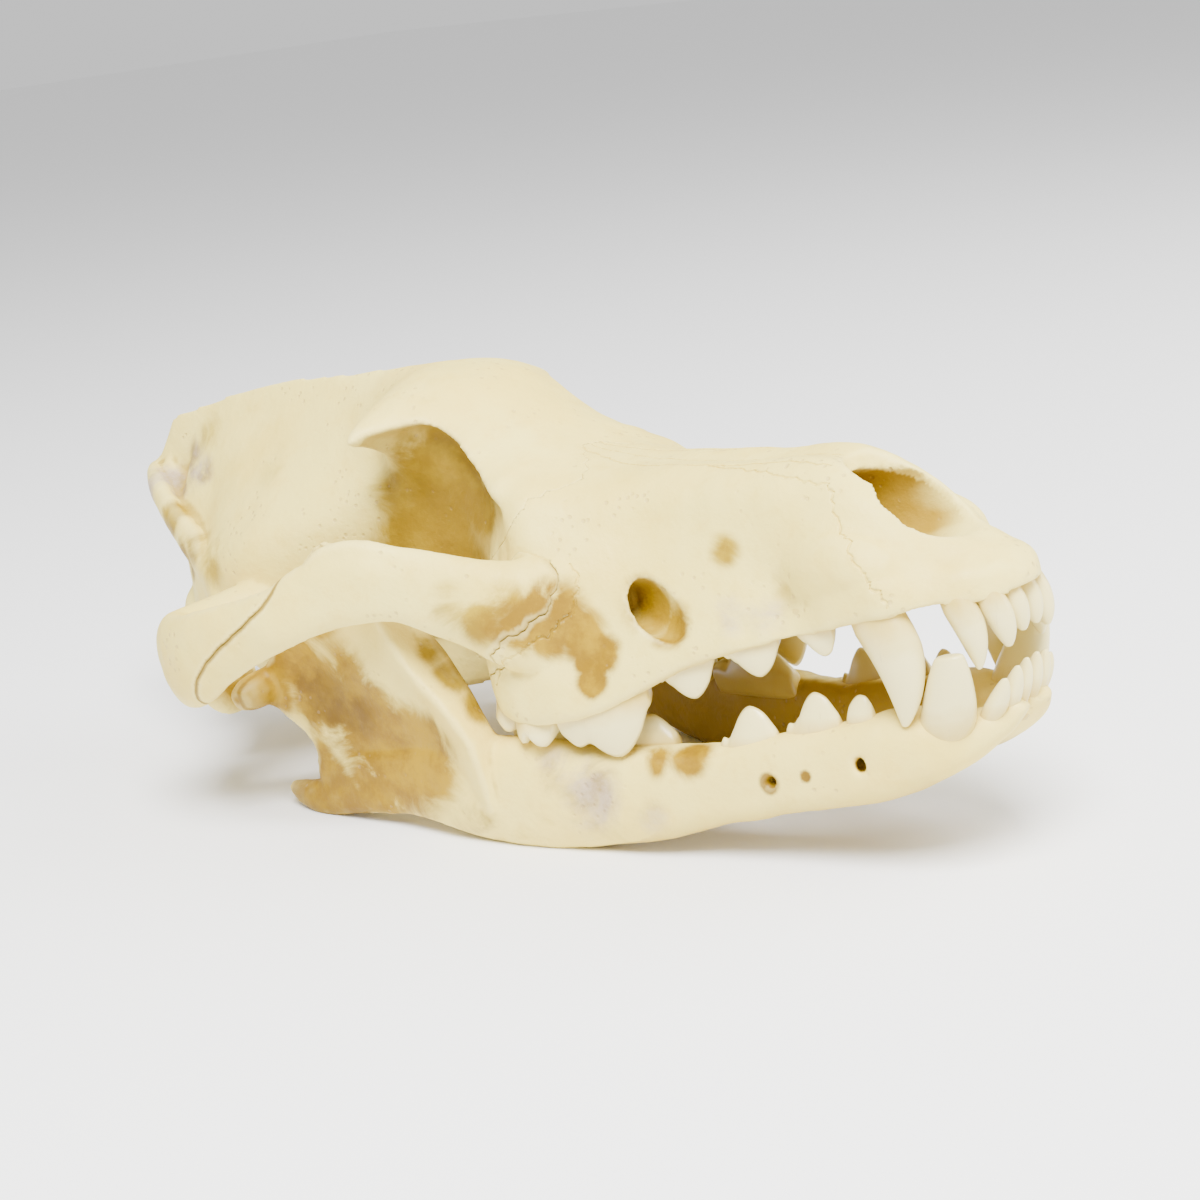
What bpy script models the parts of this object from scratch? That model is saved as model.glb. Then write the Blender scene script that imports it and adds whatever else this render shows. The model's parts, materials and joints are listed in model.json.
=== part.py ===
"""A wolf skull with its lower jaw closed, life size.

Lengths are in millimetres in the skull's own frame until the last step: x runs forward from the
front of the upper jaw (x = 0), y to the animal's left, and z up from the line of the upper tooth
sockets. The finished pieces hang from one empty that tips the snout up until the lower jaw rests
on the floor.
"""

import bmesh
import bpy
import numpy as np

# Driving dimensions
NOSE_UP_DEGREES = 10.5
SKULL_FRONT = 3.0
OCCIPUT_BACK = -264.0
GAP = 0.3
FLOOR_CUT = 0.9
CRANIUM_TRIANGLES = 4400
JAW_TRIANGLES = 950
CRANIUM_VOXEL = 1.5
JAW_VOXEL = 1.4
RING_STEPS = 5
TRUNK_STATIONS = 150

# Guide curves of the cranium, each knot (x, half-width, height). A section of the cranium passes
# through all eight in this order, from the crown down to the midline of the palate.
CROWN = [(3, 0, 5), (1.5, 0, 8), (-3, 0, 11.5), (-12, 0, 16.5), (-26, 0, 29), (-38, 0, 35.5),
         (-60, 0, 37.2), (-80, 0, 39.8), (-95, 0, 43), (-108, 0, 47.5), (-116, 0, 53),
         (-124, 0, 60.5), (-134, 0, 69), (-148, 0, 74.5), (-165, 0, 75.8), (-190, 0, 77.2),
         (-215, 0, 78.4), (-235, 0, 77.6), (-246, 0, 75), (-254, 0, 69), (-258, 0, 58),
         (-261, 0, 42), (-264, 0, 31)]
RIDGE = [(3, 1.5, 4.8), (1.5, 3, 7.5), (-3, 6, 11), (-12, 8, 16), (-26, 8.5, 29.5),
         (-38, 8, 36), (-60, 8.5, 38), (-80, 10, 40.5), (-95, 12, 42), (-108, 13, 46.5),
         (-116, 13.5, 51.5), (-124, 13.5, 57.5), (-134, 13.5, 67), (-148, 12.5, 73),
         (-160, 7, 73.5), (-175, 4.5, 73), (-190, 4, 72.5), (-205, 4, 72.5), (-220, 4, 72.5),
         (-235, 4, 71.5), (-246, 4, 69), (-254, 4, 63), (-258, 4, 52), (-261, 3.5, 39),
         (-264, 2, 31)]
BROW = [(3, 2.2, 4.5), (1.5, 5, 7), (-3, 9, 9.5), (-12, 10.8, 14.5), (-24, 12.8, 25.5),
        (-42, 14, 32), (-70, 17, 34.5), (-95, 23.5, 37), (-108, 31, 38.5), (-116, 29, 42),
        (-124, 24.5, 50), (-132, 22.5, 58.5), (-140, 26, 63), (-147, 33, 63), (-151, 36.5, 61.6),
        (-156, 25, 62.5), (-164, 14, 64), (-178, 12.5, 61.5), (-190, 14.5, 59.5), (-205, 17, 57.5),
        (-220, 17, 56), (-235, 16, 53.5), (-246, 15.5, 51), (-254, 13, 46.5), (-258, 10, 40),
        (-261, 7, 34), (-264, 3, 30)]
FLANK = [(3, 2.5, 4), (1.5, 6, 5.5), (-3, 11, 8), (-12, 15.4, 11.5), (-22, 18.6, 14.5),
         (-34, 19.5, 16.5), (-55, 19.6, 19.5), (-85, 26, 23), (-106, 33, 31), (-113, 31, 35),
         (-119, 24, 40), (-126, 18.5, 43), (-138, 16.5, 46), (-150, 17, 48), (-162, 18.5, 47),
         (-175, 23.5, 45.5), (-190, 29, 43), (-205, 32.5, 41), (-220, 31.5, 38.5), (-232, 28.5, 36),
         (-245, 21, 35), (-254, 14, 33), (-260, 9, 29.5), (-264, 4, 29)]
CHEEK = [(3, 2.4, 3.4), (1.5, 6.2, 4.2), (-3, 11.6, 5), (-12, 17.6, 7.5), (-22, 23, 8.5),
         (-32, 23.4, 8), (-42, 22, 7.5), (-70, 28, 6), (-98, 37.5, 4), (-108, 40, 3.5),
         (-118, 39.8, 4), (-125, 36, 6), (-129, 24, 12), (-134, 18, 18), (-145, 15, 24),
         (-160, 17, 28), (-175, 23, 29), (-205, 33, 27), (-232, 29, 21), (-250, 17, 20),
         (-260, 8, 25), (-264, 3.5, 27.5)]
GUM = [(3, 1.8, 2.2), (1.5, 5.8, 1.8), (-3, 11.4, 1.6), (-12, 17.2, 3), (-22, 23.4, 3),
       (-32, 23.4, 2), (-42, 22.4, 0.6), (-55, 25.4, 0), (-70, 29.5, -1.6), (-84, 34.6, -5.8),
       (-91, 37.6, -7.9), (-108, 41, -9.2), (-118, 39.5, -8.6), (-125, 35, -4.5),
       (-129, 20, 1), (-140, 12, 7), (-172, 13, 10), (-185, 21, 13), (-200, 27, 14),
       (-232, 24, 13), (-250, 13, 15), (-260, 6, 22), (-264, 3, 26)]
VAULT = [(3, 1, 2), (1.5, 4, 2), (-3, 7, 3), (-12, 10.5, 6), (-32, 14, 6), (-55, 15.5, 3),
         (-85, 20.5, -2.5), (-108, 23, -4.5), (-118, 20, -3), (-125, 14, 0), (-130, 8, 6),
         (-140, 7, 13), (-172, 8, 14), (-200, 14, 12.5), (-235, 12, 12.5), (-250, 7, 14.5),
         (-260, 3, 21), (-264, 1.5, 26)]
KEEL = [(3, 0, 2), (1.5, 0, 2.4), (-3, 0, 4.5), (-20, 0, 7.5), (-42, 0, 6.5), (-70, 0, 2.5),
        (-98, 0, -1), (-118, 0, 0), (-130, 0, 9), (-140, 0, 16), (-160, 0, 18),
        (-185, 0, 13.5), (-220, 0, 12), (-250, 0, 14.5), (-260, 0, 21), (-264, 0, 26)]

# How the side of the head tucks in under the brow round the orbit: how far in and down, and the
# places along x where that begins, is full, starts to fade and ends.
BROW_TUCK = (-6.5, -1.5)
BROW_TUCK_SPAN = (-113, -122, -151, -157)

# Paths of the processes on the right side, each knot (x, y, z, half-thickness, half-height).
CHEEK_ARCH = [(-90, -24, 12, 4, 10), (-100, -31, 13, 6, 14), (-108, -37, 15.5, 6.5, 13.5),
              (-116, -41.5, 20, 6, 11), (-124, -45.5, 24.6, 5, 9.8), (-133, -50.5, 29.3, 4.2, 9),
              (-142, -55.5, 31.2, 3.8, 9.2), (-151, -59.5, 30.5, 3.6, 8.6),
              (-161, -63, 27.7, 3.6, 7.5), (-173, -65.5, 25.4, 3.8, 8.2), (-185, -66.6, 23, 4.2, 9.8),
              (-195, -65.4, 20.4, 5, 11.4), (-204, -61.5, 19.6, 5.8, 12), (-210.5, -54, 20, 6.6, 11.6),
              (-210, -43, 21, 7, 10.6), (-201, -26, 24, 7, 9)]
EYE_SPUR = [(-131, -50, 34.5, 2.5, 3.4), (-138, -53.5, 38.4, 2.4, 3.2), (-145, -57, 39.6, 2.2, 2.8),
            (-152, -60.5, 35.5, 2, 2.5)]
SAGITTAL_CREST = [(-156, 0, 70, 2, 5), (-170, 0, 68, 2, 8.6), (-188, 0, 64, 2.2, 14),
                  (-204, 0, 62, 2.4, 17.4), (-220, 0, 60.5, 2.4, 19), (-236, 0, 59, 2.4, 20),
                  (-252, 0, 58, 2.4, 20), (-262, 0, 57.5, 2.4, 18.6), (-270, 0, 58.6, 2.4, 13),
                  (-275.5, 0, 60.5, 1.8, 6)]
NAPE_CREST = [(-274.5, 0, 63, 2.4, 3.4), (-269, -5, 61.5, 2.6, 4), (-262, -10, 57.5, 2.8, 4.6),
              (-252.5, -15.5, 52, 3, 5), (-242, -20.5, 45.5, 3.2, 5.4), (-231.5, -25.5, 38, 3.4, 6),
              (-225, -29, 30, 3.2, 6), (-221.5, -31.5, 22, 3, 5), (-221, -32, 14, 3, 4)]
NECK_SPUR = [(-227, -29, 20, 5, 4), (-231, -29, 10, 3.5, 3), (-233, -28, 2, 1.5, 1.5)]
THROAT_PLATE = [(-126, -12, 5, 1.6, 6), (-140, -11, 5.5, 1.6, 9.5), (-156, -11, 5.5, 1.6, 11.5),
                (-166, -11.5, 4, 1.5, 11), (-172, -12, -1, 1.2, 5), (-174, -12, -4, 0.8, 2)]
JAW_BODY = [(-4, -3.4, -22.6, 3, 1.8), (-7, -4.6, -24.4, 4.4, 3), (-11, -6.4, -26.2, 6.2, 4),
            (-15, -8, -27.6, 7.6, 5), (-20, -10.2, -28.2, 8.8, 6.8), (-28, -13.6, -28.4, 8.2, 9.2),
            (-36, -16.6, -29.4, 7, 9.4), (-45, -18.8, -29.9, 6.2, 9.1), (-60, -22.2, -30.3, 5.8, 9),
            (-68, -24, -31, 5.9, 9), (-76, -25.7, -30.6, 6, 10), (-90, -29, -30.8, 6.4, 11),
            (-105, -32, -30, 6.8, 11.9), (-118, -35, -27.6, 6.8, 13.4), (-132, -38.5, -24.6, 6, 12.8),
            (-146, -41, -21.6, 4.4, 10.8), (-160, -42.5, -20.4, 3, 8.6), (-175, -43, -20.2, 2.6, 7.8),
            (-185, -43, -20.5, 2.2, 6)]
JAW_ANGLE = [(-165, -43, -22.5, 3, 5.6), (-178, -43, -23.2, 3, 5), (-188, -43, -23.5, 3.2, 4.8),
             (-194, -42.5, -22.6, 3, 3.8), (-198, -42, -21.6, 2.6, 2.8), (-201, -41.8, -20.4, 1.4, 1.6)]
JAW_HINGE = [(-192, -31, 9, 2.5, 2.5), (-193, -36, 8.4, 3.8, 4), (-194.6, -45, 7.6, 4.4, 4.6),
             (-195, -52, 7, 4.2, 4.2), (-195, -56, 6.6, 2.6, 2.6)]
JAW_FLANGE = [(-147.5, -40.5, 26, 1.5, 2.5), (-142.5, -39.5, 14, 2.2, 3.4), (-138, -39, 5, 2.8, 4),
              (-134, -39, -5, 3.2, 4.2), (-130.5, -39, -15, 3.2, 4), (-125, -37, -24, 3, 4.5)]
# The blade of the lower jaw that the temple muscle pulls, edge by edge, each knot (z, x).
BLADE_FRONT = [(-29, -127), (-22, -126), (-14, -126), (-4, -129.5), (8, -137.5), (20, -143),
               (30, -147.5), (36, -151.5), (39.5, -157), (41, -162)]
BLADE_REAR = [(-29, -165), (-26, -178), (-22, -187), (-17, -187), (-11, -184.5), (-6, -186),
              (-1, -191.5), (4, -197), (8, -198), (12, -194), (17, -187), (22, -181.5),
              (30, -177.5), (36, -171.5), (39.5, -166), (41, -162.5)]
BLADE_MIDDLE = [(-29, -40.5), (-20, -41.5), (0, -43.5), (20, -44.5), (41, -43)]
# Half-thickness of that blade between its edges, what its front and rear edges add, and the share
# of the blade's depth that each edge takes
BLADE_WEB = 1.3
BLADE_FRONT_EDGE = 3.6
BLADE_FRONT_SHARE = 0.16
BLADE_REAR_EDGE = 1.5
BLADE_REAR_SHARE = 0.2
# Where the blade starts to thin upward, over what height, and to which share at the most
BLADE_THINS_ABOVE = 20
BLADE_THINNING_HEIGHT = 40
BLADE_TIP_SHARE = 0.45


def through(knots, at):
    """Cubic curve through (place, value, ...) knots that does not overshoot them."""
    table = np.array(knots, float)
    table = table[np.argsort(table[:, 0])]
    place = table[:, 0]
    step = np.diff(place)
    columns = []
    for value in table[:, 1:].T:
        slope = np.diff(value) / step
        tangent = np.concatenate([slope[:1], np.zeros(len(slope) - 1), slope[-1:]])
        tangent[1:-1] = (step[1:] * slope[:-1] + step[:-1] * slope[1:]) / (step[1:] + step[:-1])
        before = np.abs(np.concatenate([slope[:1], slope]))
        after = np.abs(np.concatenate([slope, slope[-1:]]))
        tangent = np.clip(tangent, -3 * np.minimum(before, after), 3 * np.minimum(before, after))
        turns = np.concatenate([[False], slope[:-1] * slope[1:] < 0, [False]])
        tangent[turns] *= 0.35
        span = np.clip(np.searchsorted(place, at) - 1, 0, len(step) - 1)
        t = np.clip((at - place[span]) / step[span], 0, 1)
        columns.append((2 * t**3 - 3 * t**2 + 1) * value[span]
                       + (t**3 - 2 * t**2 + t) * step[span] * tangent[span]
                       + (3 * t**2 - 2 * t**3) * value[span + 1]
                       + (t**3 - t**2) * step[span] * tangent[span + 1])
    return np.stack(columns, -1)


def section_through(corners, steps):
    """Smooth half-section through its corners, (stations, corners, 2), both ends on the midline."""
    mirror = np.array([-1.0, 1.0])
    ring = np.concatenate([corners[:, 1:2] * mirror, corners, corners[:, -2:-1] * mirror], 1)
    t = (np.arange(steps) / steps)[None, :, None]
    spans = []
    for i in range(corners.shape[1] - 1):
        a, b, c, d = (ring[:, i + k][:, None, :] for k in range(4))
        ab, bc, cd = (np.linalg.norm(q - p, axis=-1, keepdims=True) + 1e-6
                      for p, q in ((a, b), (b, c), (c, d)))
        leave = ((b - a) / ab * bc + (c - b) / bc * ab) / (ab + bc) * bc
        arrive = ((c - b) / bc * cd + (d - c) / cd * bc) / (bc + cd) * bc
        spans.append((2 * t**3 - 3 * t**2 + 1) * b + (t**3 - 2 * t**2 + t) * leave
                     + (3 * t**2 - 2 * t**3) * c + (t**3 - t**2) * arrive)
    spans.append(corners[:, -1:])
    return np.concatenate(spans, 1)


def trunk_rings():
    """Sections of the cranium without its arches, crests and processes."""
    front = SKULL_FRONT - 6 * np.linspace(0, 1, 10) ** 1.6
    x = np.concatenate([front, np.linspace(front[-1] - 1.5, OCCIPUT_BACK, TRUNK_STATIONS)])
    rails = [through(knots, x) for knots in (CROWN, RIDGE, BROW, FLANK, CHEEK, GUM, VAULT, KEEL)]
    tuck = np.interp(-x, -np.array(BROW_TUCK_SPAN, float), [0, 1, 1, 0])[:, None]
    below_brow = (rails[2] + rails[3]) / 2 * (1 - tuck) + (rails[2] + np.array(BROW_TUCK)) * tuck
    rails.insert(3, below_brow)
    half = section_through(np.stack(rails, 1), RING_STEPS)
    other = half[:, -2:0:-1] * np.array([-1.0, 1.0])
    outline = np.concatenate([half, other], 1)
    along = np.broadcast_to(x[:, None, None], outline.shape[:2] + (1,))
    return np.concatenate([along, outline], -1)


def swept_rings(knots, count=48, around=24, up=(0, 0, 1), squareness=2.2):
    """Superellipse sections carried along a path of (x, y, z, half-thickness, half-height)."""
    table = np.array(knots, float)
    lengths = np.linalg.norm(np.diff(table[:, :3], axis=0), axis=1)
    place = np.concatenate([[0], np.cumsum(lengths)])
    row = through(np.column_stack([place, table]), np.linspace(0, place[-1], count))
    path = row[:, :3]
    ahead = np.gradient(path, axis=0)
    ahead /= np.linalg.norm(ahead, axis=1, keepdims=True)
    side = np.cross(ahead, np.array(up, float))
    side /= np.linalg.norm(side, axis=1, keepdims=True)
    rise = np.cross(side, ahead)
    angle = np.linspace(0, 2 * np.pi, around, endpoint=False)
    across = np.sign(np.cos(angle)) * np.abs(np.cos(angle)) ** (2 / squareness)
    upward = np.sign(np.sin(angle)) * np.abs(np.sin(angle)) ** (2 / squareness)
    return (path[:, None] + side[:, None] * (row[:, 3:4] * across)[..., None]
            + rise[:, None] * (row[:, 4:5] * upward)[..., None])


def blade_rings(count=60, around=40):
    """Sections of the lower jaw's blade from its foot up, thick at both edges and thin between."""
    z = np.linspace(BLADE_FRONT[0][0], BLADE_FRONT[-1][0], count)
    front, rear, middle = (through(k, z) for k in (BLADE_FRONT, BLADE_REAR, BLADE_MIDDLE))
    angle = np.linspace(0, 2 * np.pi, around, endpoint=False)
    back = (1 - np.cos(angle)) / 2
    rim = np.sqrt(np.clip(1 - (2 * back - 1) ** 2, 0, 1))
    web = (BLADE_WEB + BLADE_FRONT_EDGE * np.exp(-((back / BLADE_FRONT_SHARE) ** 2))
           + BLADE_REAR_EDGE * np.exp(-(((1 - back) / BLADE_REAR_SHARE) ** 2)))
    thinning = np.clip(1 - (z - BLADE_THINS_ABOVE) / BLADE_THINNING_HEIGHT, BLADE_TIP_SHARE, 1)[:, None]
    half = np.minimum(rim * 6, 1)[None] * web[None] * thinning
    x = front * (1 - back)[None] + rear * back[None]
    y = middle - np.sign(np.sin(angle))[None] * half
    return np.stack([x, y, np.broadcast_to(z[:, None], x.shape)], -1)


# Round lumps on the right side, each (x, y, z) and three radii.
EAR_DRUM = ((-212, -20, 13), (14, 10.5, 11))
NECK_KNUCKLE = ((-250, -12.5, 21.5), (10, 8, 10.5))
HINGE_STOP = ((-205.5, -49, 10), (3.8, 9, 8))
CANINE_SWELLING = ((-34, -17.5, 12), (17, 6, 8))
# The sloping plate at the back of the head, each knot (z, x, half-depth, half-width).
NAPE_PLATE = [(65, -267, 3, 3), (57, -260, 4, 10), (48, -250, 6, 16), (40, -243, 8, 21),
              (30, -238, 9, 25), (20, -236, 9, 28), (12, -236, 6, 25)]
# Openings, as paths and lumps that are cut away
NOSE_OPENING = [(12, 0, 24, 11.5, 8.6), (-10, 0, 22.8, 11, 8.6), (-24, 0, 22, 10.6, 9.2),
                (-38, 0, 21.5, 8.6, 9.5), (-50, 0, 21.5, 6, 8), (-58, 0, 21.5, 3, 5)]
NOSE_NOTCH = ((-19.5, 0, 34), (16, 10, 9))
SPINAL_OPENING = ((-260, 0, 26), (26, 10, 8.5))
THROAT_OPENING = ((-134, 0, 9), (16, 7.5, 6))
CHEEK_FORAMEN = [(-62, -29.8, 7, 1.5, 3.5), (-68, -29.8, 8.5, 2.6, 5.4), (-74, -28.6, 10.5, 3.6, 6.4),
                 (-79, -26.8, 12, 3.8, 6.4), (-85, -24, 12.6, 2.8, 5), (-92, -21.5, 13, 1.8, 3.6)]
EAR_OPENING = [(-203, -40, 21, 3.4, 3.4), (-206, -28, 20, 3, 3), (-207, -24, 20, 2, 2)]

# Side view of the cheekbone, each corner (x, z), and how far out from the middle it starts
CHEEKBONE_OUTLINE = [(-96, 24), (-113, 39), (-122, 46), (-150, 60), (-158, 35), (-163, 30.5),
                     (-172, 26), (-181, 22), (-189.5, 16.5), (-193.4, 11.5), (-194, 6), (-192, -12),
                     (-140, -12), (-132, 2), (-121, 3.5), (-115.5, 4.5), (-114, 9), (-110, 12),
                     (-103, 14), (-98, 18)]
CHEEKBONE_INNER = 34
CHEEKBONE_OUTER = 90
# The suture between the face and the braincase: how far back it lies over the brow, how much
# further back between the nasal bones and beside the orbit, with the widths and the place across
# at which those begin, how far back it lies at the palate, and the height of its waves
BROW_SUTURE = -99
NASAL_SUTURE_EXTRA = 10
PALATE_SUTURE = -131
ORBIT_SUTURE_EXTRA = 9
NASAL_SUTURE_WIDTH = 9
ORBIT_SUTURE_START = 18
ORBIT_SUTURE_WIDTH = 14
SUTURE_WAVE = 0.7
SUTURE_TOP = 38
SUTURE_BOTTOM = 22
# The square in which that suture is worked out: its half-width, its middle height and its steps
SUTURE_REACH = 70
SUTURE_MIDDLE = 30
SUTURE_STEPS = 71

# Cross-section of a cutting tooth and of a grinding tooth: (share of the half-width towards the
# cheek, share of the crown's height). A height of None is the sunken root.
BLADE_SECTION = [(-0.5, None), (-1.0, 0.0), (-0.85, 0.4), (-0.15, 1.0), (0.15, 1.0),
                 (0.85, 0.4), (1.0, 0.0), (0.5, None)]
GRINDER_SECTION = [(-0.5, None), (-1.0, 0.1), (-0.9, 0.4), (-0.55, 0.62), (-0.1, 0.45),
                   (0.5, 1.0), (0.9, 0.6), (1.0, 0.1), (0.5, None)]
ROOT_DEPTH = 6.0
ROOT_SHARE = 0.55
CUSP_ROUNDNESS = 1.75
# How far a cheek tooth's cusps lean towards the cheek, as a share of its half-width
UPPER_LEAN = 0.45
LOWER_LEAN = -0.1
# Cheek teeth: name, front (x, y, z), rear (x, y, z), half-width, crown height, cusps (share of
# the length from the front, share of the height, share of the length it spreads), section.
UPPER_CHEEK_TEETH = [
    ("first_premolar", (-35.8, 19.4, 1.6), (-45, 20, 1.2), 2.3, 6.2,
     [(0.34, 1, 0.6), (0.8, 0.4, 0.3)], BLADE_SECTION),
    ("second_premolar", (-50, 20.6, 1), (-64.5, 23.2, 0.2), 2.7, 8.2,
     [(0.42, 1, 0.5), (0.76, 0.5, 0.18), (0.93, 0.4, 0.12)], BLADE_SECTION),
    ("third_premolar", (-66.5, 23.9, -0.4), (-81.5, 27.6, -2.4), 2.9, 9.0,
     [(0.42, 1, 0.5), (0.74, 0.52, 0.18), (0.93, 0.42, 0.12)], BLADE_SECTION),
    ("carnassial", (-82.5, 30.2, -7), (-106.4, 36.6, -9.2), 4.0, 12.6,
     [(0.42, 1, 0.46), (0.8, 0.64, 0.4), (0.1, 0.36, 0.14)], BLADE_SECTION),
    ("first_molar", (-106.8, 33.6, -9.4), (-119.4, 33.4, -8.8), 7.4, 7.2,
     [(0.27, 1, 0.34), (0.74, 0.86, 0.34)], GRINDER_SECTION),
    ("second_molar", (-119.8, 32.4, -8), (-127, 31.4, -5.4), 5.6, 5.6,
     [(0.35, 1, 0.5), (0.8, 0.7, 0.4)], GRINDER_SECTION),
]
LOWER_CHEEK_TEETH = [
    ("first_premolar", (-33, 16.8, -19.6), (-39.4, 18, -20.4), 2.1, 5.4,
     [(0.4, 1, 0.8)], BLADE_SECTION),
    ("second_premolar", (-41, 18.4, -21), (-54.4, 20.8, -21.8), 2.5, 8.8,
     [(0.36, 1, 0.5), (0.72, 0.44, 0.18), (0.93, 0.4, 0.12)], BLADE_SECTION),
    ("third_premolar", (-56.5, 21.4, -22.4), (-71, 24.6, -23.4), 2.8, 9.2,
     [(0.38, 1, 0.5), (0.7, 0.5, 0.18), (0.92, 0.42, 0.12)], BLADE_SECTION),
    ("carnassial", (-84, 23.4, -20.6), (-112, 27.8, -18), 3.8, 11,
     [(0.2, 0.62, 0.3), (0.47, 1, 0.36), (0.85, 0.36, 0.3)], BLADE_SECTION),
    ("second_molar", (-113, 29.4, -17), (-121, 31, -15), 3.5, 2.8, [(0.3, 1, 0.9)], BLADE_SECTION),
    ("third_molar", (-122.5, 31.6, -14), (-126, 32.4, -13), 2.2, 2.2, [(0.5, 1, 1.0)], BLADE_SECTION),
]
# Front teeth: name, base (x, y, z), tip (x, y, z), half-length, half-width, bow forward, how
# squarely the crown keeps its width towards the tip, and how blunt the tip is.
UPPER_FRONT_TEETH = [
    ("first_incisor", (-2.2, 2.9, 2.6), (-0.4, 2.7, -7.5), 3.2, 2.5, 0.6, 2.6, 0.1),
    ("second_incisor", (-3.6, 8.0, 2.6), (-1.2, 8.0, -9.4), 3.6, 2.9, 0.8, 2.4, 0.1),
    ("third_incisor", (-8.6, 12.2, 2.4), (-6.4, 12.9, -12.6), 4.1, 3.3, 1.2, 1.9, 0.05),
    ("canine", (-24.8, 18.6, 2.4), (-23.6, 19.8, -22.2), 7.4, 4.8, 3.0, 1.6, 0.04),
]
LOWER_FRONT_TEETH = [
    ("first_incisor", (-6.5, 2.2, -23), (-1.6, 2.1, -13.2), 2.6, 1.8, 0.3, 2.6, 0.1),
    ("second_incisor", (-7.5, 5.6, -23.6), (-1.8, 5.8, -13.8), 2.9, 2.1, 0.3, 2.4, 0.1),
    ("third_incisor", (-9.8, 8.8, -24.6), (-3.2, 9.4, -15.4), 3.2, 2.5, 0.3, 2.2, 0.1),
    ("canine", (-17.6, 13.8, -25.2), (-9.8, 17.6, -7.2), 7.0, 4.8, 0.3, 1.7, 0.42),
]

BONE = ((0.80, 0.72, 0.55), 0.62)
HONEY_BONE = ((0.74, 0.62, 0.42), 0.62)


def crown_profile(share, cusps):
    """Height of a cheek tooth's crown along its length, as a share, with a low collar."""
    height = 0.3 + 0 * share
    for place, tall, spread in cusps:
        slope = np.clip(1 - (np.abs(share - place) / spread) ** CUSP_ROUNDNESS, 0, 1)
        height = np.maximum(height, tall * slope)
    return height


def cheek_tooth_rings(front, rear, half_width, crown, cusps, section, down, stations=8):
    """Sections of a premolar or molar from its front to its rear, its cusps pointing down or up."""
    share = np.linspace(0, 1, stations)
    for peak in sorted(place for place, tall, spread in cusps):
        share[1 + np.argmin(np.abs(share[1:-1] - peak))] = peak
    front, rear = np.array(front, float), np.array(rear, float)
    middle = front + (rear - front) * share[:, None]
    along = (rear - front) / np.linalg.norm(rear - front)
    across = np.cross(along, (0, 0, 1))
    across *= np.sign(across[1]) / np.linalg.norm(across)
    belly = np.clip(np.sin(np.pi * (0.08 + 0.84 * share)), 0, 1) ** 0.5
    height = crown * crown_profile(share, cusps) * np.clip(belly * 1.3, 0, 1)
    toward = -1.0 if down else 1.0
    lean = UPPER_LEAN if down else LOWER_LEAN
    ring = []
    for reach, level in section:
        rise = -toward * ROOT_DEPTH + 0 * height if level is None else toward * level * height
        reach += 0 if level is None else lean * level
        place = middle + across * (reach * half_width * belly)[:, None]
        place[:, 2] += rise
        ring.append(place)
    return np.stack(ring, 1)


def front_tooth_rings(base, tip, half_length, half_width, bow, square, blunt, stations=6, around=8):
    """Sections of an incisor or canine: a bowed cone from its sunken root to its tip."""
    base, tip = np.array(base, float), np.array(tip, float)
    height = np.linalg.norm(tip - base)
    share = np.concatenate([[-ROOT_DEPTH / height, 0], np.linspace(0.25, 0.98, stations - 2)])
    rise = np.clip(share, 0, 1)
    path = base + (tip - base) * share[:, None]
    path[:, 0] += 4 * bow * rise * (1 - rise)
    taper = blunt + (1 - blunt) * (1 - rise ** square) ** 0.8
    taper = np.where(share < 0, ROOT_SHARE, taper)
    angle = np.linspace(0, 2 * np.pi, around, endpoint=False)
    ahead = np.array([half_length, 0.0, 0.0])
    side = np.array([0.0, half_width, 0.0])
    return (path[:, None] + ahead * (taper[:, None] * np.cos(angle))[..., None]
            + side * (taper[:, None] * np.sin(angle))[..., None])


def mirrored(rings):
    """The same sections on the other side of the head."""
    flipped = rings[:, ::-1].copy()
    flipped[..., 1] *= -1
    return flipped


def add_mesh(name, points, faces, collection):
    """A mesh object in a collection from points in millimetres, its faces turned outward."""
    mesh = bpy.data.meshes.new(name)
    mesh.from_pydata((np.asarray(points) / 1000).tolist(), [], faces)
    shape = bmesh.new()
    shape.from_mesh(mesh)
    bmesh.ops.recalc_face_normals(shape, faces=shape.faces)
    shape.to_mesh(mesh)
    shape.free()
    obj = bpy.data.objects.new(name, mesh)
    collection.objects.link(obj)
    return obj


def add_loft(name, rings, collection):
    """A closed solid through rings of points, each end closed on its middle."""
    count, around, _ = rings.shape
    points = np.concatenate([rings.reshape(-1, 3), rings[:1].mean(1), rings[-1:].mean(1)])
    first, last = count * around, count * around + 1
    faces = []
    for j in range(around):
        k = (j + 1) % around
        faces += [(i * around + j, i * around + k, (i + 1) * around + k, (i + 1) * around + j)
                  for i in range(count - 1)]
        faces.append((first, k, j))
        faces.append((last, (count - 1) * around + j, (count - 1) * around + k))
    return add_mesh(name, points, faces, collection)


def add_ball(name, centre, radii, collection):
    """An ellipsoid."""
    mesh = bpy.data.meshes.new(name)
    shape = bmesh.new()
    bmesh.ops.create_uvsphere(shape, u_segments=32, v_segments=20, radius=1)
    bmesh.ops.scale(shape, vec=np.array(radii) / 1000, verts=shape.verts)
    bmesh.ops.translate(shape, vec=np.array(centre) / 1000, verts=shape.verts)
    shape.to_mesh(mesh)
    shape.free()
    obj = bpy.data.objects.new(name, mesh)
    collection.objects.link(obj)
    return obj


def both_sides(name, rings, collection):
    """One loft on the right side and its mirror image on the left."""
    add_loft(name + "_right", rings, collection)
    add_loft(name + "_left", mirrored(rings), collection)


def both_balls(name, lump, collection):
    """One ellipsoid on the right side and its mirror image on the left."""
    (x, y, z), radii = lump
    add_ball(name + "_right", (x, y, z), radii, collection)
    add_ball(name + "_left", (x, -y, z), radii, collection)


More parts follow.
